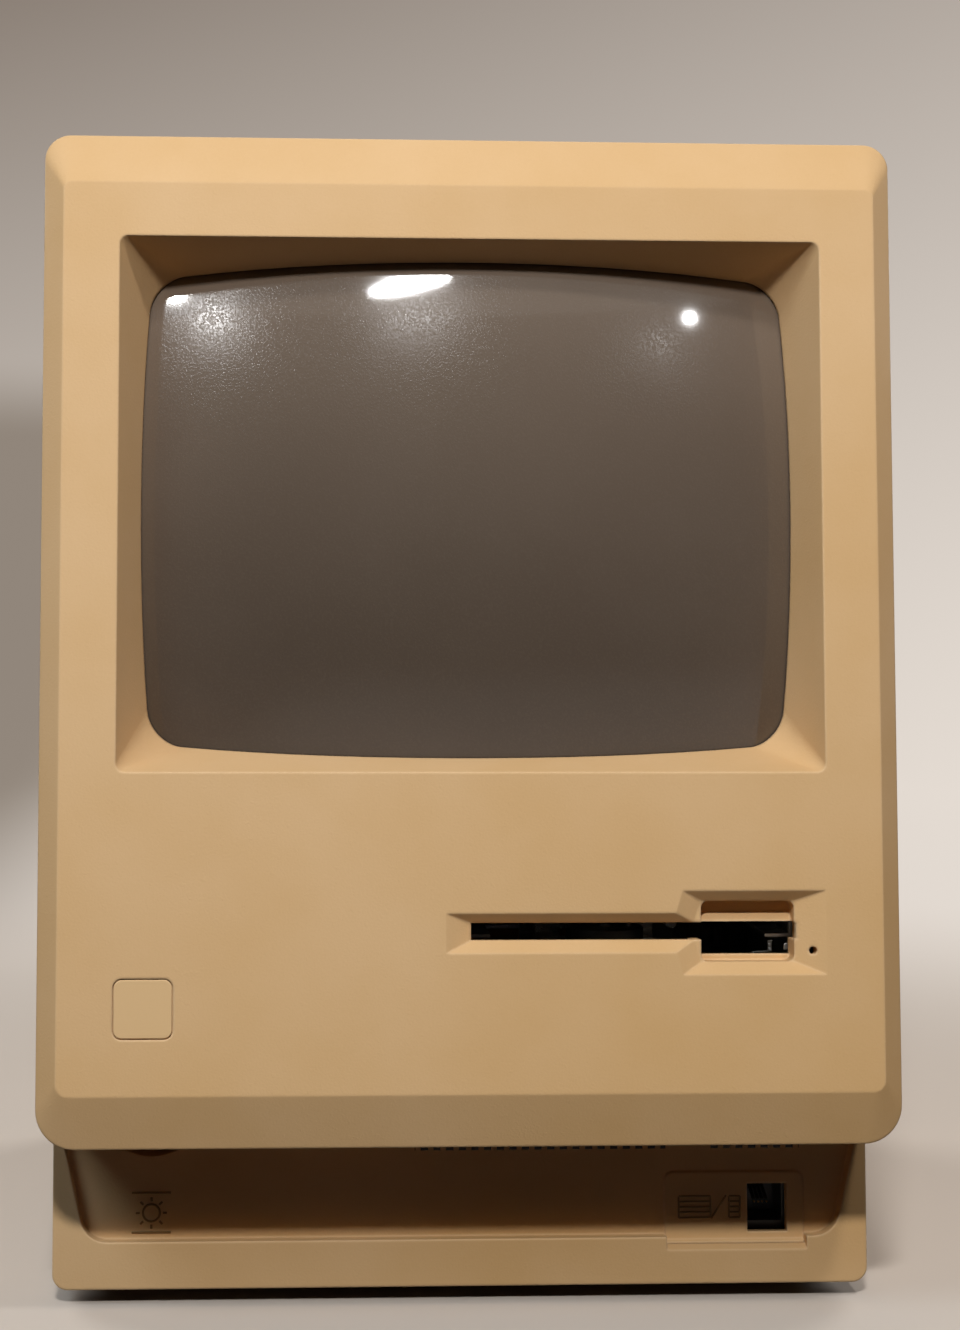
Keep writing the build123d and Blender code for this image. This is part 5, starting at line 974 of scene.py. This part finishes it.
floor_finish, place = new_finish("pale_shelf")
x, y, z = place.axes()
shown = on_shown_rays(place)
away = place.vector("LENGTH", place, output="Value")
wall = away.step(0.30, 0.95)
# painted light on the wall: darker towards the top and the left, lighter to the right, and darker
# on the side in front of the computer
painted = (x * 0.18 - z * 0.45 + 0.80).mix(tone("80746A"), tone("E6DDD4"))
# painted shadow of the computer on the wall and shelf at its lower left
shaded = (1.0 - x.step(-0.42, -0.14)) * (1.0 - z.step(0.50, 0.66))
painted = shaded.mix(painted, tone("90857A"))
painted = y.step(-2.2, 0.0).mix(tone("544C45"), painted)
dim_bounce = away.step(0.15, 0.5).mix(tone("221F22"), tone("1A120B"))
surface(
    place,
    Base_Color=shown.mix(dim_bounce, wall.mix(tone("CFC3B7"), tone("050505"))),
    Roughness=0.85,
    Specular_IOR_Level=0.1,
    Emission_Color=(shown * wall).mix(tone("000000"), painted),
    Emission_Strength=1.0,
)
floor_mesh.materials.append(floor_finish)

world = bpy.data.worlds.new("room")
world.use_nodes = True
world.node_tree.nodes.clear()
room = Value(world.node_tree)
air = on_shown_rays(room).mix(tone("463A2E"), tone("C4BCB3"))
light = room.node("ShaderNodeBackground", {}, {"Color": air, "Strength": 0.9})
end = world.node_tree.nodes.new("ShaderNodeOutputWorld")
world.node_tree.links.new(light.socket, end.inputs["Surface"])
bpy.context.scene.world = world


def lamp(name, position, aim, size, power, mirrored=True, lights=True, roll=0.0):
    """A soft elliptical lamp of that width and height, turned to its aim and rolled by an angle.

    It shows in glossy surfaces where it is mirrored, and it lights the rest where it lights.
    """
    data = bpy.data.lights.new(name, "AREA")
    data.shape = "ELLIPSE"
    data.size, data.size_y = size
    data.energy = power
    made = bpy.data.objects.new(name, data)
    bpy.context.scene.collection.objects.link(made)
    made.location = position
    facing = (Vector(aim) - Vector(position)).to_track_quat("-Z", "Y")
    made.rotation_euler = (facing @ Quaternion((0.0, 0.0, 1.0), roll)).to_euler()
    made.visible_glossy = mirrored
    made.visible_diffuse = lights
    made.visible_camera = False
    return data


front_middle = (0.0, -0.1, 0.18)
rear_middle = (0.0, 0.1, 0.17)
lamp("left_spot", (-0.430, -0.692, 0.743), front_middle, (0.038, 0.038), 2.6, lights=False)
lamp(
    "middle_ceiling_lamp", (-0.049, -1.061, 0.957), front_middle, (0.19, 0.042), 3.2,
    lights=False, roll=0.24,
)
lamp("right_spot", (0.530, -0.875, 0.805), front_middle, (0.014, 0.010), 0.6, lights=False)
lamp("main_softbox", (-0.10, -1.061, 0.855), front_middle, (0.14, 0.08), 9.6, mirrored=False)
sky = lamp("left_softbox", (-0.75, -0.80, 1.10), front_middle, (0.5, 0.5), 4.8, mirrored=False)
sky.color = (0.74, 0.88, 1.0)
lamp("right_softbox", (0.32, -0.78, 1.05), front_middle, (0.1, 0.1), 3.0, mirrored=False)
lamp("overhead_softbox", (0.0, 0.25, 1.7), (0.0, 0.05, 0.2), (1.2, 1.2), 0.6, mirrored=False)
lamp("left_rear_softbox", (-1.2, 1.1, 0.9), rear_middle, (0.9, 0.9), 13.0)
lamp("right_rear_softbox", (1.2, 1.3, 0.8), rear_middle, (0.9, 0.9), 17.0)

camera_data = bpy.data.cameras.new("camera")
camera = bpy.data.objects.new("camera", camera_data)
bpy.context.scene.collection.objects.link(camera)
camera_data.sensor_width = 36.0
camera_data.lens = 2203.1156 * 36.0 / 1330
camera_data.shift_x = 0.06
camera_data.shift_y = -0.03
camera_data.clip_start = 0.01
camera.matrix_world = Matrix((
    (0.99898407, -0.0026847, -0.04498467, -0.0484371),
    (-0.04497764, 0.00262341, -0.99898455, -0.7495607),
    (0.00279999, 0.99999296, 0.0025, 0.2023562),
    (0.0, 0.0, 0.0, 1.0),
))
bpy.context.scene.camera = camera
bpy.context.scene.view_settings.view_transform = "Standard"
